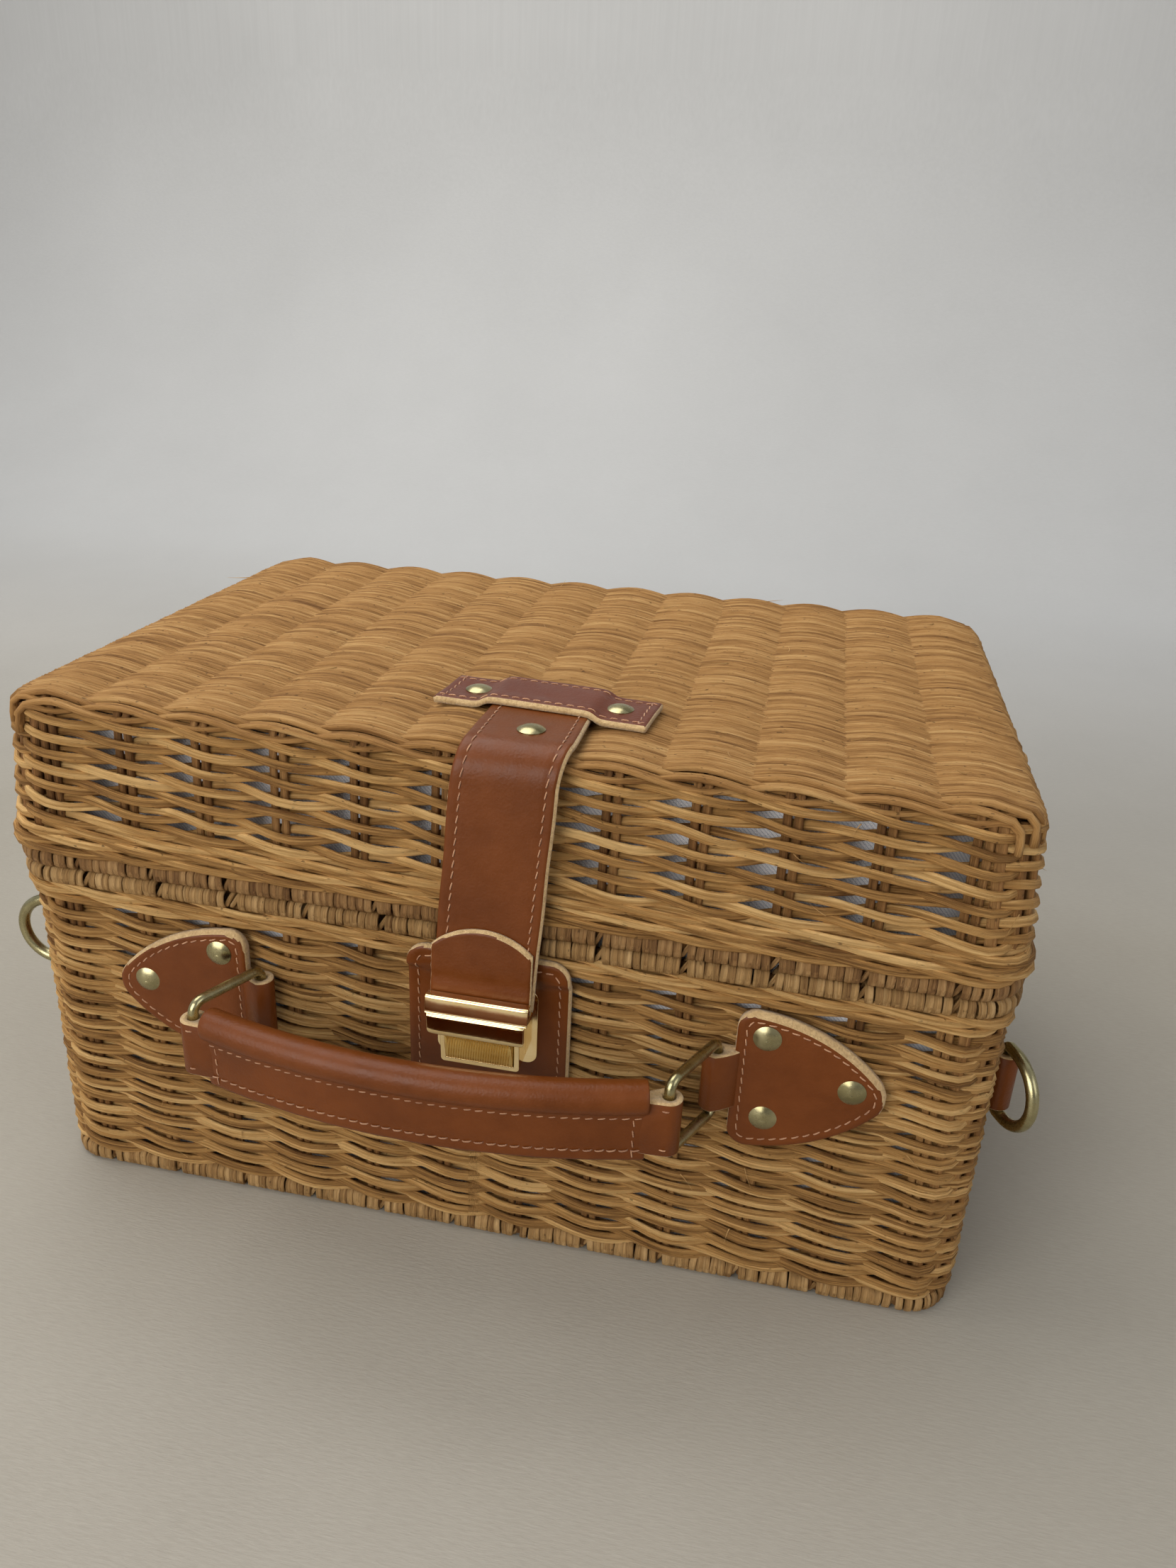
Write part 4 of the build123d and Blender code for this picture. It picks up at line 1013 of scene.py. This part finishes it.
outline = pad_outline()
for side, node in ((-1, "pad_left"), (1, "pad_right")):
    shape = outline * (side, 1) + (HANDLE_X, PAD_Z)
    lay = on_front(PAD_BACK)
    leaf = panel(node + "_leaf", shape, lay, PAD_THICK, stitch=2.6, crown=0.35,
                 worn=(0.45 + 0.15 * side, 1.0), bare=1.35)
    place(leaf, "basket", "leather", node)
    line = inward(counter_clockwise(shape), 2.6)
    sew(node + "_stitches", "basket", [(line, lay, PAD_THICK - 0.12)], closed=True)
    bar = np.array([HANDLE_X + side * TUBE_REACH, -(PAD_BACK + TUBE_RADIUS)])
    outer = drawn_out(bar, TUBE_RADIUS, np.array([side, 0]), 0.05, 0.75, lambda c: (
        HANDLE_X + side * (PAD_START + 1.6), -PAD_BACK - PAD_THICK * 0.5 * (1 - np.clip(c[1] / 0.75, -1, 1))))
    fold(node + "_tube", outer, bar + BORE * CIRCLE, PAD_Z - TUBE_HEIGHT / 2, PAD_Z + TUBE_HEIGHT / 2,
         "basket")

# ---- handle: a bowed grip with a roll along its top, and a folded loop at each end
RING_STEP = (-10.17, -20.85)
LOOP_Y = -(PAD_BACK + TUBE_RADIUS) + RING_STEP[1]
GRIP_X = HANDLE_X + RING_STEP[0]
BOW = 10.5
BOW_RADIUS = (TUBE_REACH ** 2 + BOW ** 2) / (2 * BOW)
BOW_Y = LOOP_Y + BOW_RADIUS - BOW
grip_low, grip_high = low_high("handle_cover")
ROLL = 4.65
ROLL_Z = grip_high[2] - ROLL
FLANGE = 3.6
SETBACK = 5.5
LOOP_Z = PAD_Z - 1.0
LOOP_HEIGHT = 17.0


def on_bow(s, out, z):
    """A point at arc length s from the handle's middle, out from its curved centre line."""
    angle = -np.pi / 2 + s / BOW_RADIUS
    r = BOW_RADIUS + out
    return (GRIP_X + r * math.cos(angle), BOW_Y + r * math.sin(angle), z)


def grip_section():
    """Outline of the grip across its length: (out, z), round the roll and down both flat sides."""
    half = FLANGE / 2
    join = math.asin((half + 0.5) / ROLL)
    a = np.linspace(-np.pi / 2 + join, 1.5 * np.pi - join, 26)
    roll = np.column_stack([ROLL * np.cos(a), ROLL_Z + ROLL * np.sin(a)])
    z0 = grip_low[2]
    down = [(-half - 0.25, ROLL_Z - ROLL - 0.3), (-half - 0.12, ROLL_Z - ROLL - 2.0)]
    low_z = np.linspace(ROLL_Z - ROLL - 4.5, z0 + 1.0, 8)
    down += [(-half, z) for z in low_z] + [(-half + 0.25, z0 + 0.3), (-half + 0.9, z0)]
    up = [(-p[0], p[1]) for p in down[::-1]]
    return np.concatenate([roll, np.array(down), np.array(up)])


HALF_GRIP = BOW_RADIUS * math.asin((TUBE_REACH - SETBACK) / BOW_RADIUS)
section = grip_section()
section_middle = section.mean(0)
stations = np.concatenate([[-HALF_GRIP, -HALF_GRIP + 0.25, -HALF_GRIP + 0.8],
                           np.linspace(-HALF_GRIP + 2, HALF_GRIP - 2, 60),
                           [HALF_GRIP - 0.8, HALF_GRIP - 0.25, HALF_GRIP]])
verts = []
groove_high = ROLL_Z - ROLL - 0.9
groove_low = grip_low[2] + 3.6
for s in stations:
    near_end = HALF_GRIP - abs(s)
    pinch = 0.90 + 0.10 * min(1.0, near_end / 0.8) ** 0.5
    dip = 0.22 * math.exp(-((near_end - 3.4) / 0.5) ** 2)
    soft = 0.05 * math.sin(s * 0.21) + 0.04 * math.sin(s * 0.53 + 1)
    for out, z in section:
        groove = 0.25 * sum(math.exp(-((z - at) / 0.6) ** 2) for at in (groove_high, groove_low))
        if z < ROLL_Z - ROLL + 1.0:
            out = math.copysign(max(abs(out) - groove - dip + soft, 0.2), out) if abs(out) > 0.5 else out
        out = section_middle[0] + (out - section_middle[0]) * pinch
        z = section_middle[1] + (z - section_middle[1]) * (0.985 + 0.015 * pinch)
        verts.append(on_bow(s, out, z))
m, last = len(section), len(stations) - 1
faces = bridge(last + 1, m) + [row_face(0, m)[::-1], row_face(last, m)]
grip = add_mesh("handle_grip", verts, faces, [LEATHER, RAW], [0] * (last * m) + [1, 1])
place(grip, "handle", "leather", "handle_cover")

lines = []
for face in (1, -1):
    lay = lambda u, v, h, face=face: on_bow(u, face * h, v)
    runs = [((-HALF_GRIP + 0.8, z), (HALF_GRIP - 0.8, z)) for z in (groove_high, groove_low)]
    runs += [((x, grip_low[2] + 0.8), (x, groove_high)) for x in (3.4 - HALF_GRIP, HALF_GRIP - 3.4)]
    lines += [(polyline(run, 2.0, closed=False), lay, FLANGE / 2 - 0.06) for run in runs]
sew("handle_stitches", "handle", lines)

for side, node in ((-1, "handle_loop_left"), (1, "handle_loop_right")):
    bar = np.array([GRIP_X + side * TUBE_REACH, LOOP_Y])
    tail = np.array(on_bow(side * (HALF_GRIP - 4.0), 0, 0)[:2])
    way = (tail - bar) / np.linalg.norm(tail - bar)
    normal = np.array([-way[1], way[0]])
    outer = drawn_out(bar, TUBE_RADIUS, way, 0.30, 0.55,
                      lambda c: tail + normal * 1.5 * float(c @ normal) / 0.75)
    fold(node + "_leather", outer, bar + BORE * CIRCLE, LOOP_Z - LOOP_HEIGHT / 2, LOOP_Z + LOOP_HEIGHT / 2,
         "handle", node)
    lines = []
    for z in (LOOP_Z - LOOP_HEIGHT / 2 + 2.2, LOOP_Z + LOOP_HEIGHT / 2 - 2.2):
        for face in (-1, 1):
            def lay(u, v, h, z=z, face=face, bar=bar, way=way, normal=normal):
                out = math.sqrt(max(TUBE_RADIUS ** 2 - (u + 0.2) ** 2, 1.0)) + h
                return (*(bar + way * (u + 0.2) + normal * face * out), z)
            lines.append((polyline([(0.0, 0.0), (2.6, 0.0)], 1.0, closed=False), lay, 0.0))
    sew(node + "_stitches", "handle", lines, pitch=2.6, length=2.2)


# ---------------------------------------------------------------- closing strap
STRAP_WIDTH = 29.0
LEATHER_THICK = 1.8
top_low, top_high = low_high("strap_top")
STRAP_TOP_X = (top_low[0] + top_high[0]) / 2
BEND_R = 8.75
STRAP_Z = top_high[2] - LEATHER_THICK / 2
STRAP_END = top_high[1]
bend_y = top_low[1] + LEATHER_THICK / 2 + BEND_R
bend_z = STRAP_Z - BEND_R
FLAP_Y = bend_y - BEND_R
FLAP_AXIS_Z = bend_z + 1.2
FLAP_END_Z = low_high("strap_flap")[0][2]
FLAP_TOP_X, LOCK_X = 6.5, 3.6
LEAN = 0.0813
run_top = STRAP_END - bend_y
run_bend = BEND_R * np.pi / 2
run_flap = (FLAP_AXIS_Z - FLAP_END_Z) * math.sqrt(1 + LEAN ** 2)
strap_length = run_top + run_bend - 1.2 + run_flap


def strap_line(s):
    """Point (y, z) and outward direction of the strap's centre line, from its end under the crossbar."""
    if s < run_top:
        return STRAP_END - s, STRAP_Z, 0.0, 1.0
    turn = (s - run_top) / BEND_R
    if turn < np.pi / 2 - 1.2 / BEND_R:
        out, up = math.sin(turn), math.cos(turn)
        return bend_y - BEND_R * out, bend_z + BEND_R * up, -out, up
    d = s - run_top - (run_bend - 1.2)
    down = d / math.sqrt(1 + LEAN ** 2)
    return FLAP_Y - down * LEAN, FLAP_AXIS_Z - down, -1.0, -LEAN


def strap_x(s):
    """Middle of the strap: it drifts left on its way down to the lock."""
    return float(np.interp(s, [0, run_top, run_top + run_bend, strap_length],
                           [STRAP_TOP_X, STRAP_TOP_X, FLAP_TOP_X + 1.0, LOCK_X]))


def on_strap(u, v, h):
    y, z, ny, nz = strap_line(v)
    size = math.hypot(ny, nz)
    out = h - LEATHER_THICK / 2
    return strap_x(v) + u, y + out * ny / size, z + out * nz / size


half = STRAP_WIDTH / 2
edge_wave = polyline([(-half, 0.0), (half, 0.0), (half, strap_length), (-half, strap_length)], 1.5)
edge_wave[:, 0] *= 1 + 0.006 * np.sin(edge_wave[:, 1] * 0.23)
strap = panel("strap_leather", edge_wave, on_strap, LEATHER_THICK, grid=1.6, stitch=3.0, worn=(1.0, 0.0),
              bare=0.9)
lines = [(polyline([(x, 1.0), (x, strap_length - 1.0)], 1.0, closed=False), on_strap, LEATHER_THICK - 0.10)
         for x in (3.0 - half, half - 3.0)]
strap_thread = sew("strap_stitches", None, lines)
for piece in (strap, strap_thread):
    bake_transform(piece)
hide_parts("strap_top", "strap_flap")

# ---- the tongue on the strap's end, arched at its top
tongue_low, tongue_high = low_high("strap_tongue")
TONGUE_THICK = 1.5
tongue_half = STRAP_WIDTH / 2 - 0.3
tongue_side = tongue_high[2] - 5.8
arch = arc_through((tongue_half, tongue_side), (0, tongue_high[2]), (-tongue_half, tongue_side), 26)
flat_side = polyline([(-tongue_half, tongue_side), (-tongue_half, tongue_low[2]),
                      (tongue_half, tongue_low[2]),
                      (tongue_half, tongue_side)], 1.4, closed=False)
tongue_shape = np.concatenate([arch[:-1], flat_side[:-1]])


def on_tongue(u, v, h):
    y = FLAP_Y - (FLAP_AXIS_Z - v) * LEAN - LEATHER_THICK / 2 - 0.05
    crease = 0.35 * math.exp(-((v - tongue_low[2] - 8.0) / 1.2) ** 2) if h > 0.4 else 0.0
    return LOCK_X + u, y - h + crease, v


tongue = panel("tongue_leather", tongue_shape, on_tongue, TONGUE_THICK, grid=1.3, crown=0.25, worn=(0.5, 0.9),
               bare=0.95)
place(tongue, "strap_flap", "leather", "strap_tongue")

# ---- crossbar over the strap's end
bar_low, bar_high = low_high("strap_crossbar")
BAR_LENGTH, BAR_DEPTH, BAR_THICK = 62.5, 21.0, 1.9
bar_x, bar_y = (bar_low[0] + bar_high[0]) / 2, (bar_low[1] + bar_high[1]) / 2
BAR_TURN = math.radians(-5.0)
BAR_BASE = bar_low[2]
BAR_HUMP = 2.0


def on_crossbar(u, v, h):
    reach = STRAP_WIDTH / 2 + 1.2
    rise = BAR_HUMP / (1 + math.exp((abs(u) - reach - 0.8) / 0.75))
    lift = rise + 0.10 * math.sin(v * 0.4 + u * 0.05)
    x = u * math.cos(BAR_TURN) - v * math.sin(BAR_TURN)
    y = u * math.sin(BAR_TURN) + v * math.cos(BAR_TURN)
    return bar_x + x, bar_y + y, BAR_BASE + lift + h


bar_shape = rounded(BAR_LENGTH, BAR_DEPTH, 0.8, step=1.2)
crossbar = panel("crossbar_leather", bar_shape, on_crossbar, BAR_THICK, grid=1.4, stitch=2.6,
                 material=LEATHER_RED, worn=(0.4, -1.0), bare=0.7)
place(crossbar, "lid", "leather", "strap_crossbar")
sew("crossbar_stitches", "lid", [(inward(bar_shape, 2.6), on_crossbar, BAR_THICK - 0.12)], closed=True)

# ---- lock patch: it steps out over the bulging rows
patch_low, patch_high = low_high("lock_patch")
PATCH_THICK = 2.2
PATCH_BACK = -patch_high[1]
STEP_OUT = 2.0
patch_shape = rounded(patch_high[0] - patch_low[0], patch_high[2] - patch_low[2], 6.0,
                      centre=(LOCK_X, (patch_high[2] + patch_low[2]) / 2))


def on_patch(u, v, h):
    t = np.clip((v - (waling_low[2] - 3.0)) / 3.0, 0, 1)
    return u, -PATCH_BACK - h - STEP_OUT * float(t * t * (3 - 2 * t)), v


patch = panel("lock_patch_leather", patch_shape, on_patch, PATCH_THICK, stitch=3.0, worn=(0.8, 0.8), bare=0.9)
place(patch, "basket", "leather", "lock_patch")
sew("lock_patch_stitches", "basket", [(inward(patch_shape, 3.0), on_patch, PATCH_THICK - 0.12)], closed=True)

# ---- side tabs and the hinge straps at the back
TAB_THICK, TAB_RADIUS, TAB_BORE = 3.0, 4.0, 2.2
for side, node in ((-1, "side_tab_left"), (1, "side_tab_right")):
    low, high = low_high(node)
    mid_z = (low[2] + high[2]) / 2
    height = high[2] - low[2]
    face = low_high("body_weave")[1][0] + 0.3
    bar_y_side = low[1] + TAB_RADIUS
    length = high[1] - bar_y_side
    bend = height / 2
    curve = [(length - bend + bend * math.sin(a), bend * math.cos(a)) for a in np.linspace(0, np.pi, 19)]
    tab = polyline([(3.0, -bend), *curve[::-1], (3.0, bend)], 1.2)
    lay = lambda u, v, h, side=side, y0=bar_y_side, z0=mid_z, f=face: (side * (f + h), y0 + u, z0 + v)
    leaf = panel(node + "_leaf", tab, lay, TAB_THICK, stitch=2.4, crown=0.2)
    place(leaf, "basket", "leather", node)
    line = inward(counter_clockwise(tab), 2.4)
    sew(node + "_stitches", "basket", [(line, lay, TAB_THICK - 0.1)], closed=True)
    bar = np.array([side * (face + TAB_RADIUS), bar_y_side])
    outer = drawn_out(bar, TAB_RADIUS, np.array([0, 1]), 0.05, 0.75, lambda c: (
        side * (face + TAB_THICK / 2 * (1 + np.clip(c[0] * side / 0.75, -1, 1))), bar_y_side + 4.6))
    fold(node + "_tube", outer, bar + TAB_BORE * CIRCLE, low[2], high[2], "basket")

strap_body_low, strap_body_high = low_high("back_straps_body")
strap_lid_high = low_high("back_straps_lid")[1]
BACK_WIDTH = 20.0
BACK_X = 78.0
hinge_y = strap_body_high[1] - LEATHER_THICK / 2
hinge_z = (rim_high[2] + lid_border_low[2]) / 2
low_face = body_high[1] + 0.3 + LEATHER_THICK / 2
high_face = lid_rows_high[1] + 0.3 + LEATHER_THICK / 2
back_z = [strap_body_low[2], waling_low[2] - 3.3, waling_low[2] - 0.3, hinge_z, lid_waling_high[2] - 0.7,
          lid_waling_high[2] + 3.3, strap_lid_high[2]]
back_y = [low_face, low_face, hinge_y, hinge_y, hinge_y, high_face, high_face]
back_zs = np.linspace(back_z[0], back_z[-1], 80)
back_ys = np.interp(back_zs, back_z, back_y)
kernel = np.exp(-(np.arange(-4, 5) / 2.0) ** 2)
kernel /= kernel.sum()
back_ys = np.convolve(np.pad(back_ys, 4, mode="edge"), kernel, mode="valid")


def on_back(x0):
    def lay(u, v, h):
        return x0 - u, float(np.interp(v, back_zs, back_ys)) + h - LEATHER_THICK / 2, v
    return lay


back_pieces = []
for side in (-1, 1):
    tail = rounded(BACK_WIDTH, back_z[-1] - back_z[0], 4.0, centre=(0, (back_z[-1] + back_z[0]) / 2),
                   step=1.1)
    lay = on_back(side * BACK_X)
    name = "back_strap_left" if side < 0 else "back_strap_right"
    piece = panel(name, tail, lay, LEATHER_THICK, grid=1.4, stitch=2.4)
    lines = [(inward(tail, 2.4), lay, LEATHER_THICK - 0.1)]
    back_pieces += [piece, sew(name + "_stitches", None, lines, closed=True)]
for piece in back_pieces:
    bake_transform(piece)
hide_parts("back_straps_body", "back_straps_lid")


# ---------------------------------------------------------------- metal
SHARP = math.radians(30.0)


def refined(name, node, body_name, material, slot, bevel):
    """A CAD solid's shape with softened edges, so that they catch the light."""
    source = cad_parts[node]
    mesh = source.data.copy()
    mesh.name = name
    mesh.materials.clear()
    mesh.materials.append(material)
    bm = bmesh.new()
    bm.from_mesh(mesh)
    bmesh.ops.remove_doubles(bm, verts=bm.verts, dist=1e-6)
    bmesh.ops.dissolve_limit(bm, angle_limit=math.radians(1.0), verts=bm.verts, edges=bm.edges)
    edges = [e for e in bm.edges if len(e.link_faces) == 2 and e.calc_face_angle(0) > SHARP]
    bmesh.ops.bevel(bm, geom=edges, offset=bevel * MM, segments=3, profile=0.6, affect="EDGES",
                    clamp_overlap=True)
    bm.to_mesh(mesh)
    bm.free()
    for face in mesh.polygons:
        face.use_smooth = True
    obj = bpy.data.objects.new(name, mesh)
    bpy.context.scene.collection.objects.link(obj)
    harden = obj.modifiers.new("normals", "WEIGHTED_NORMAL")
    harden.keep_sharp = True
    return place(obj, body_name, slot, node)



def hasp_piece():
    """A pressed plate: a rounded bar over the strap's end, a step, and a narrower lip over the button."""
    low, high = low_high("hasp")
    front, lip_low, top = low[1], low[2], high[2] - 0.8
    half_bar = (high[0] - low[0]) / 2
    half_lip = half_bar - 0.8
    back = high[1]
    flap_back = back - 1.0
    # each row: outer y, outer z, inner y, inner z, half width; down the plate, from behind its top edge
    rows = [(front + y, top + z, front + inner_y, top + inner_z, half) for y, z, inner_y, inner_z, half in (
        (4.60, -0.10, 4.60, -0.50, half_bar), (2.60, 0.05, 2.90, -0.55, half_bar),
        (2.00, -0.05, 2.80, -0.90, half_bar), (1.60, -0.35, 2.70, -1.30, half_bar),
        (1.46, -0.85, 2.60, -1.80, half_bar), (1.20, -2.60, 2.40, -2.90, half_bar),
        (0.96, -4.20, 2.20, -3.80, half_bar), (0.86, -4.85, 2.10, -4.20, half_bar),
        (0.66, -5.12, 1.95, -4.50, half_bar - 0.15), (0.34, -5.24, 1.80, -4.80, half_lip),
        (0.08, -5.44, 1.60, -5.30, half_lip), (0.0, -5.80, 1.40, -5.90, half_lip),
        (0.05, -7.20, 1.40, -7.20, half_lip), (0.20, -9.30, 1.50, -9.30, half_lip))]
    rows += [(front + y, lip_low + z, front + inner_y, lip_low + inner_z, half_lip - less)
             for y, z, inner_y, inner_z, less in (
        (0.30, 1.70, 1.60, 1.70, 0.0), (0.42, 1.10, 1.75, 1.20, 0.1), (0.65, 0.50, 1.85, 0.70, 0.4),
        (1.00, 0.12, 2.00, 0.25, 1.0), (1.60, 0.0, 2.10, 0.10, 1.6))]
    n, across = len(rows), np.linspace(-1, 1, 15)
    verts = []
    for t in across:
        soft = 0.18 * max(0.0, abs(t) - 0.93) / 0.07
        verts += [(LOCK_X + t * row[4], row[0] + soft, row[1]) for row in rows]
        verts += [(LOCK_X + t * row[4], row[2], row[3]) for row in rows[::-1]]
    faces = bridge(len(across), 2 * n)
    for p in (0, (len(across) - 1) * 2 * n):
        faces += [[p + k, p + 2 * n - 1 - k, p + 2 * n - 2 - k, p + k + 1] for k in range(n - 1)]
    web_z = top - 4.1
    base = len(verts)
    web = [(front + 2.4, web_z), (front + 2.4, web_z - 1.0), (back, web_z - 1.2), (back, high[2]),
           (back - 0.3, high[2] + 0.2), (flap_back + 0.2, high[2] + 0.2), (flap_back, high[2]),
           (flap_back, web_z)]
    for t in (-1, 1):
        verts += [(LOCK_X + t * half_bar, y, z) for y, z in web]
    m = len(web)
    faces += [[base + k for k in face] for face in bridge(2, m) + [row_face(0, m), row_face(1, m)]]
    obj = add_mesh("hasp_plate", verts, faces, [GOLD])
    bm = bmesh.new()
    bm.from_mesh(obj.data)
    bmesh.ops.recalc_face_normals(bm, faces=bm.faces)
    bm.to_mesh(obj.data)
    bm.free()
    for face in obj.data.polygons:
        face.use_smooth = True
    soften = obj.modifiers.new("edges", "BEVEL")
    soften.width = 0.16 * MM
    soften.segments = 3
    soften.limit_method = "ANGLE"
    soften.angle_limit = math.radians(50)
    obj.modifiers.new("normals", "WEIGHTED_NORMAL")
    place(obj, "strap_flap", "gold_plate", "hasp")


hasp_piece()
refined("lock_frame", "lock_housing", "basket", GOLD, "gold_plate", 0.35)
refined("lock_plate", "lock_base_plate", "basket", GOLD, "gold_plate", 0.25)

# ---- the press button: fine slanted ridges across a face with a sloping top
button_low, button_high = low_high("lock_button")
RIDGES = 27
columns = np.linspace(button_low[0], button_high[0], RIDGES * 8 + 1)
width = button_high[0] - button_low[0]
face_y = button_low[1]
foot_z, top_z = button_low[2], button_high[2]
slope = top_z - 3.0 - foot_z - 0.4
profile = [(button_high[1], foot_z), (face_y + 2.3, foot_z), (face_y + 1.75, foot_z + 0.25)]
profile += [(face_y + 1.6 * (1 - t) ** 1.6, foot_z + 0.4 + t * slope) for t in np.linspace(0, 1, 9)]
profile += [(face_y + y, top_z - z) for y, z in ((0, 2.4), (0.05, 1.6), (0.35, 0.9), (0.9, 0.25), (1.5, 0))]
profile += [(button_high[1], top_z)]
verts = []
for x in columns:
    edge = min(x - button_low[0], button_high[0] - x)
    for y, z in profile:
        rel = (z - button_low[2]) / (button_high[2] - button_low[2])
        wave = abs(math.sin(np.pi * (x - button_low[0] + 1.4 * (1 - rel)) * RIDGES / width))
        on_face = 0.0 if y > face_y + 2.0 else math.exp(-max(0, rel - 0.80) / 0.05) if rel > 0.80 else 1.0
        depth = 0.55 * (1 - wave) * on_face * min(1.0, edge / 1.0)
        round_off = 0.35 * max(0.0, 1 - edge / 0.5) ** 2 if y < face_y + 2.2 else 0.0
        verts.append((x, y + depth + round_off, z))
m, last = len(profile), len(columns) - 1
faces = bridge(last + 1, m, turned=True) + [row_face(0, m), row_face(last, m)[::-1]]
button = add_mesh("button_ridged", verts, faces, [BUTTON_GOLD])
place(button, "lock_button", "gold_plate", "lock_button")

# ---------------------------------------------------------------- CAD nodes that keep their shape
kept = (
    (POST, "body_corner_posts lid_corner_posts"), (RAW, "handle_core"), (GOLD, "lock_catch"),
    (STEEL, "lock_spring"),
    (BRASS, "pad_rivet_caps pad_rivet_posts ring_left ring_right side_rivet_caps side_rivet_posts "
            "side_ring_left side_ring_right lock_posts strap_rivet_caps strap_rivet_posts "
            "back_rivet_caps_body back_rivet_posts_body back_rivet_caps_lid back_rivet_posts_lid"),
)
for material, nodes in kept:
    for node in nodes.split():
        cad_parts[node].data.materials.clear()
        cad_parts[node].data.materials.append(material)

# ---------------------------------------------------------------- floor, light and camera
FLOOR_FRONT, FLOOR_BACK, FLOOR_SIDE, FLOOR_RISE, FLOOR_CURVE = -1.6, 0.62, 3.0, 2.4, 0.5
sweep = [(FLOOR_FRONT, 0.0), (FLOOR_BACK, 0.0)]
sweep += [(FLOOR_BACK + FLOOR_CURVE * math.sin(a), FLOOR_CURVE * (1 - math.cos(a)))
          for a in np.linspace(0.1, np.pi / 2, 12)]
sweep += [(FLOOR_BACK + FLOOR_CURVE, FLOOR_RISE)]
points = [(x, y, z) for y, z in sweep for x in (-FLOOR_SIDE, FLOOR_SIDE)]
faces = bridge(len(sweep), 2, closed=False)
stage = add_mesh("studio_floor", np.array(points) / MM, faces, [floor_material("floor_paint")])


def area_light(name, place_at, aim, size, power, colour):
    data = bpy.data.lights.new(name, "AREA")
    data.shape = "RECTANGLE"
    data.size, data.size_y = size
    data.energy = power
    data.color = colour
    obj = bpy.data.objects.new(name, data)
    obj.location = place_at
    obj.rotation_euler = (Vector(aim) - Vector(place_at)).to_track_quat("-Z", "Y").to_euler()
    bpy.context.scene.collection.objects.link(obj)


# name, place, the point it is aimed at, size in metres, power in watts, colour
WINDOW_COLOUR, SHADE_COLOUR = (1.0, 0.985, 0.96), (0.95, 0.97, 1.0)
area_light("window", (-0.5, 0.15, 1.35), (0.0, 0.0, 0.08), (1.3, 1.0), 13.5, WINDOW_COLOUR)
area_light("fill_right", (1.4, -0.9, 0.9), (0.0, 0.0, 0.08), (1.0, 1.0), 5.0, SHADE_COLOUR)
area_light("fill_front", (-0.6, -1.25, 0.65), (0.0, 0.0, 0.1), (1.2, 0.9), 14.5, WINDOW_COLOUR)

# the room's light: dimmer on the camera's side, brighter behind the basket
SKY_STRENGTH = 0.76
SKY_DIM, SKY_BRIGHT = (0.30, 0.29, 0.28, 1.0), (0.80, 0.83, 0.88, 1.0)
world = bpy.data.worlds.new("studio")
bpy.context.scene.world = world
world.use_nodes = True
tree = world.node_tree
background = tree.nodes["Background"]
background.inputs["Strength"].default_value = SKY_STRENGTH
sky_place = tree.nodes.new("ShaderNodeTexCoord")
sky_parts = tree.nodes.new("ShaderNodeSeparateXYZ")
sky_ramp = tree.nodes.new("ShaderNodeValToRGB")
sky_range = tree.nodes.new("ShaderNodeMapRange")
sky_range.inputs["From Min"].default_value = -1.0
tree.links.new(sky_place.outputs["Generated"], sky_parts.inputs["Vector"])
tree.links.new(sky_parts.outputs["Y"], sky_range.inputs["Value"])
tree.links.new(sky_range.outputs["Result"], sky_ramp.inputs["Fac"])
tree.links.new(sky_ramp.outputs["Color"], background.inputs["Color"])
dim, bright = sky_ramp.color_ramp.elements
dim.position, dim.color = 0.05, SKY_DIM
bright.position, bright.color = 0.75, SKY_BRIGHT

bpy.context.scene.view_settings.view_transform = "Standard"

# the camera that the photo was matched with
CAMERA_AT = Vector((0.0786, -0.3627, 0.2794))
LENS, SENSOR = 26.43, 36.0
YAW, PITCH, ROLL_TURN = math.radians(-10.5), math.radians(23.59), math.radians(2.75)
forward = Vector((math.sin(YAW) * math.cos(PITCH), math.cos(YAW) * math.cos(PITCH), -math.sin(PITCH)))
right = Vector((math.cos(YAW), -math.sin(YAW), 0.0))
up = right.cross(forward)
camera_x = math.cos(ROLL_TURN) * right + math.sin(ROLL_TURN) * up
camera_y = -math.sin(ROLL_TURN) * right + math.cos(ROLL_TURN) * up
data = bpy.data.cameras.new("camera")
data.lens = LENS
data.sensor_width = SENSOR
data.clip_start = 0.01
camera = bpy.data.objects.new("camera", data)
turn = Matrix((camera_x, camera_y, -forward)).transposed()
camera.matrix_world = Matrix.Translation(CAMERA_AT) @ turn.to_4x4()
bpy.context.scene.collection.objects.link(camera)
bpy.context.scene.camera = camera
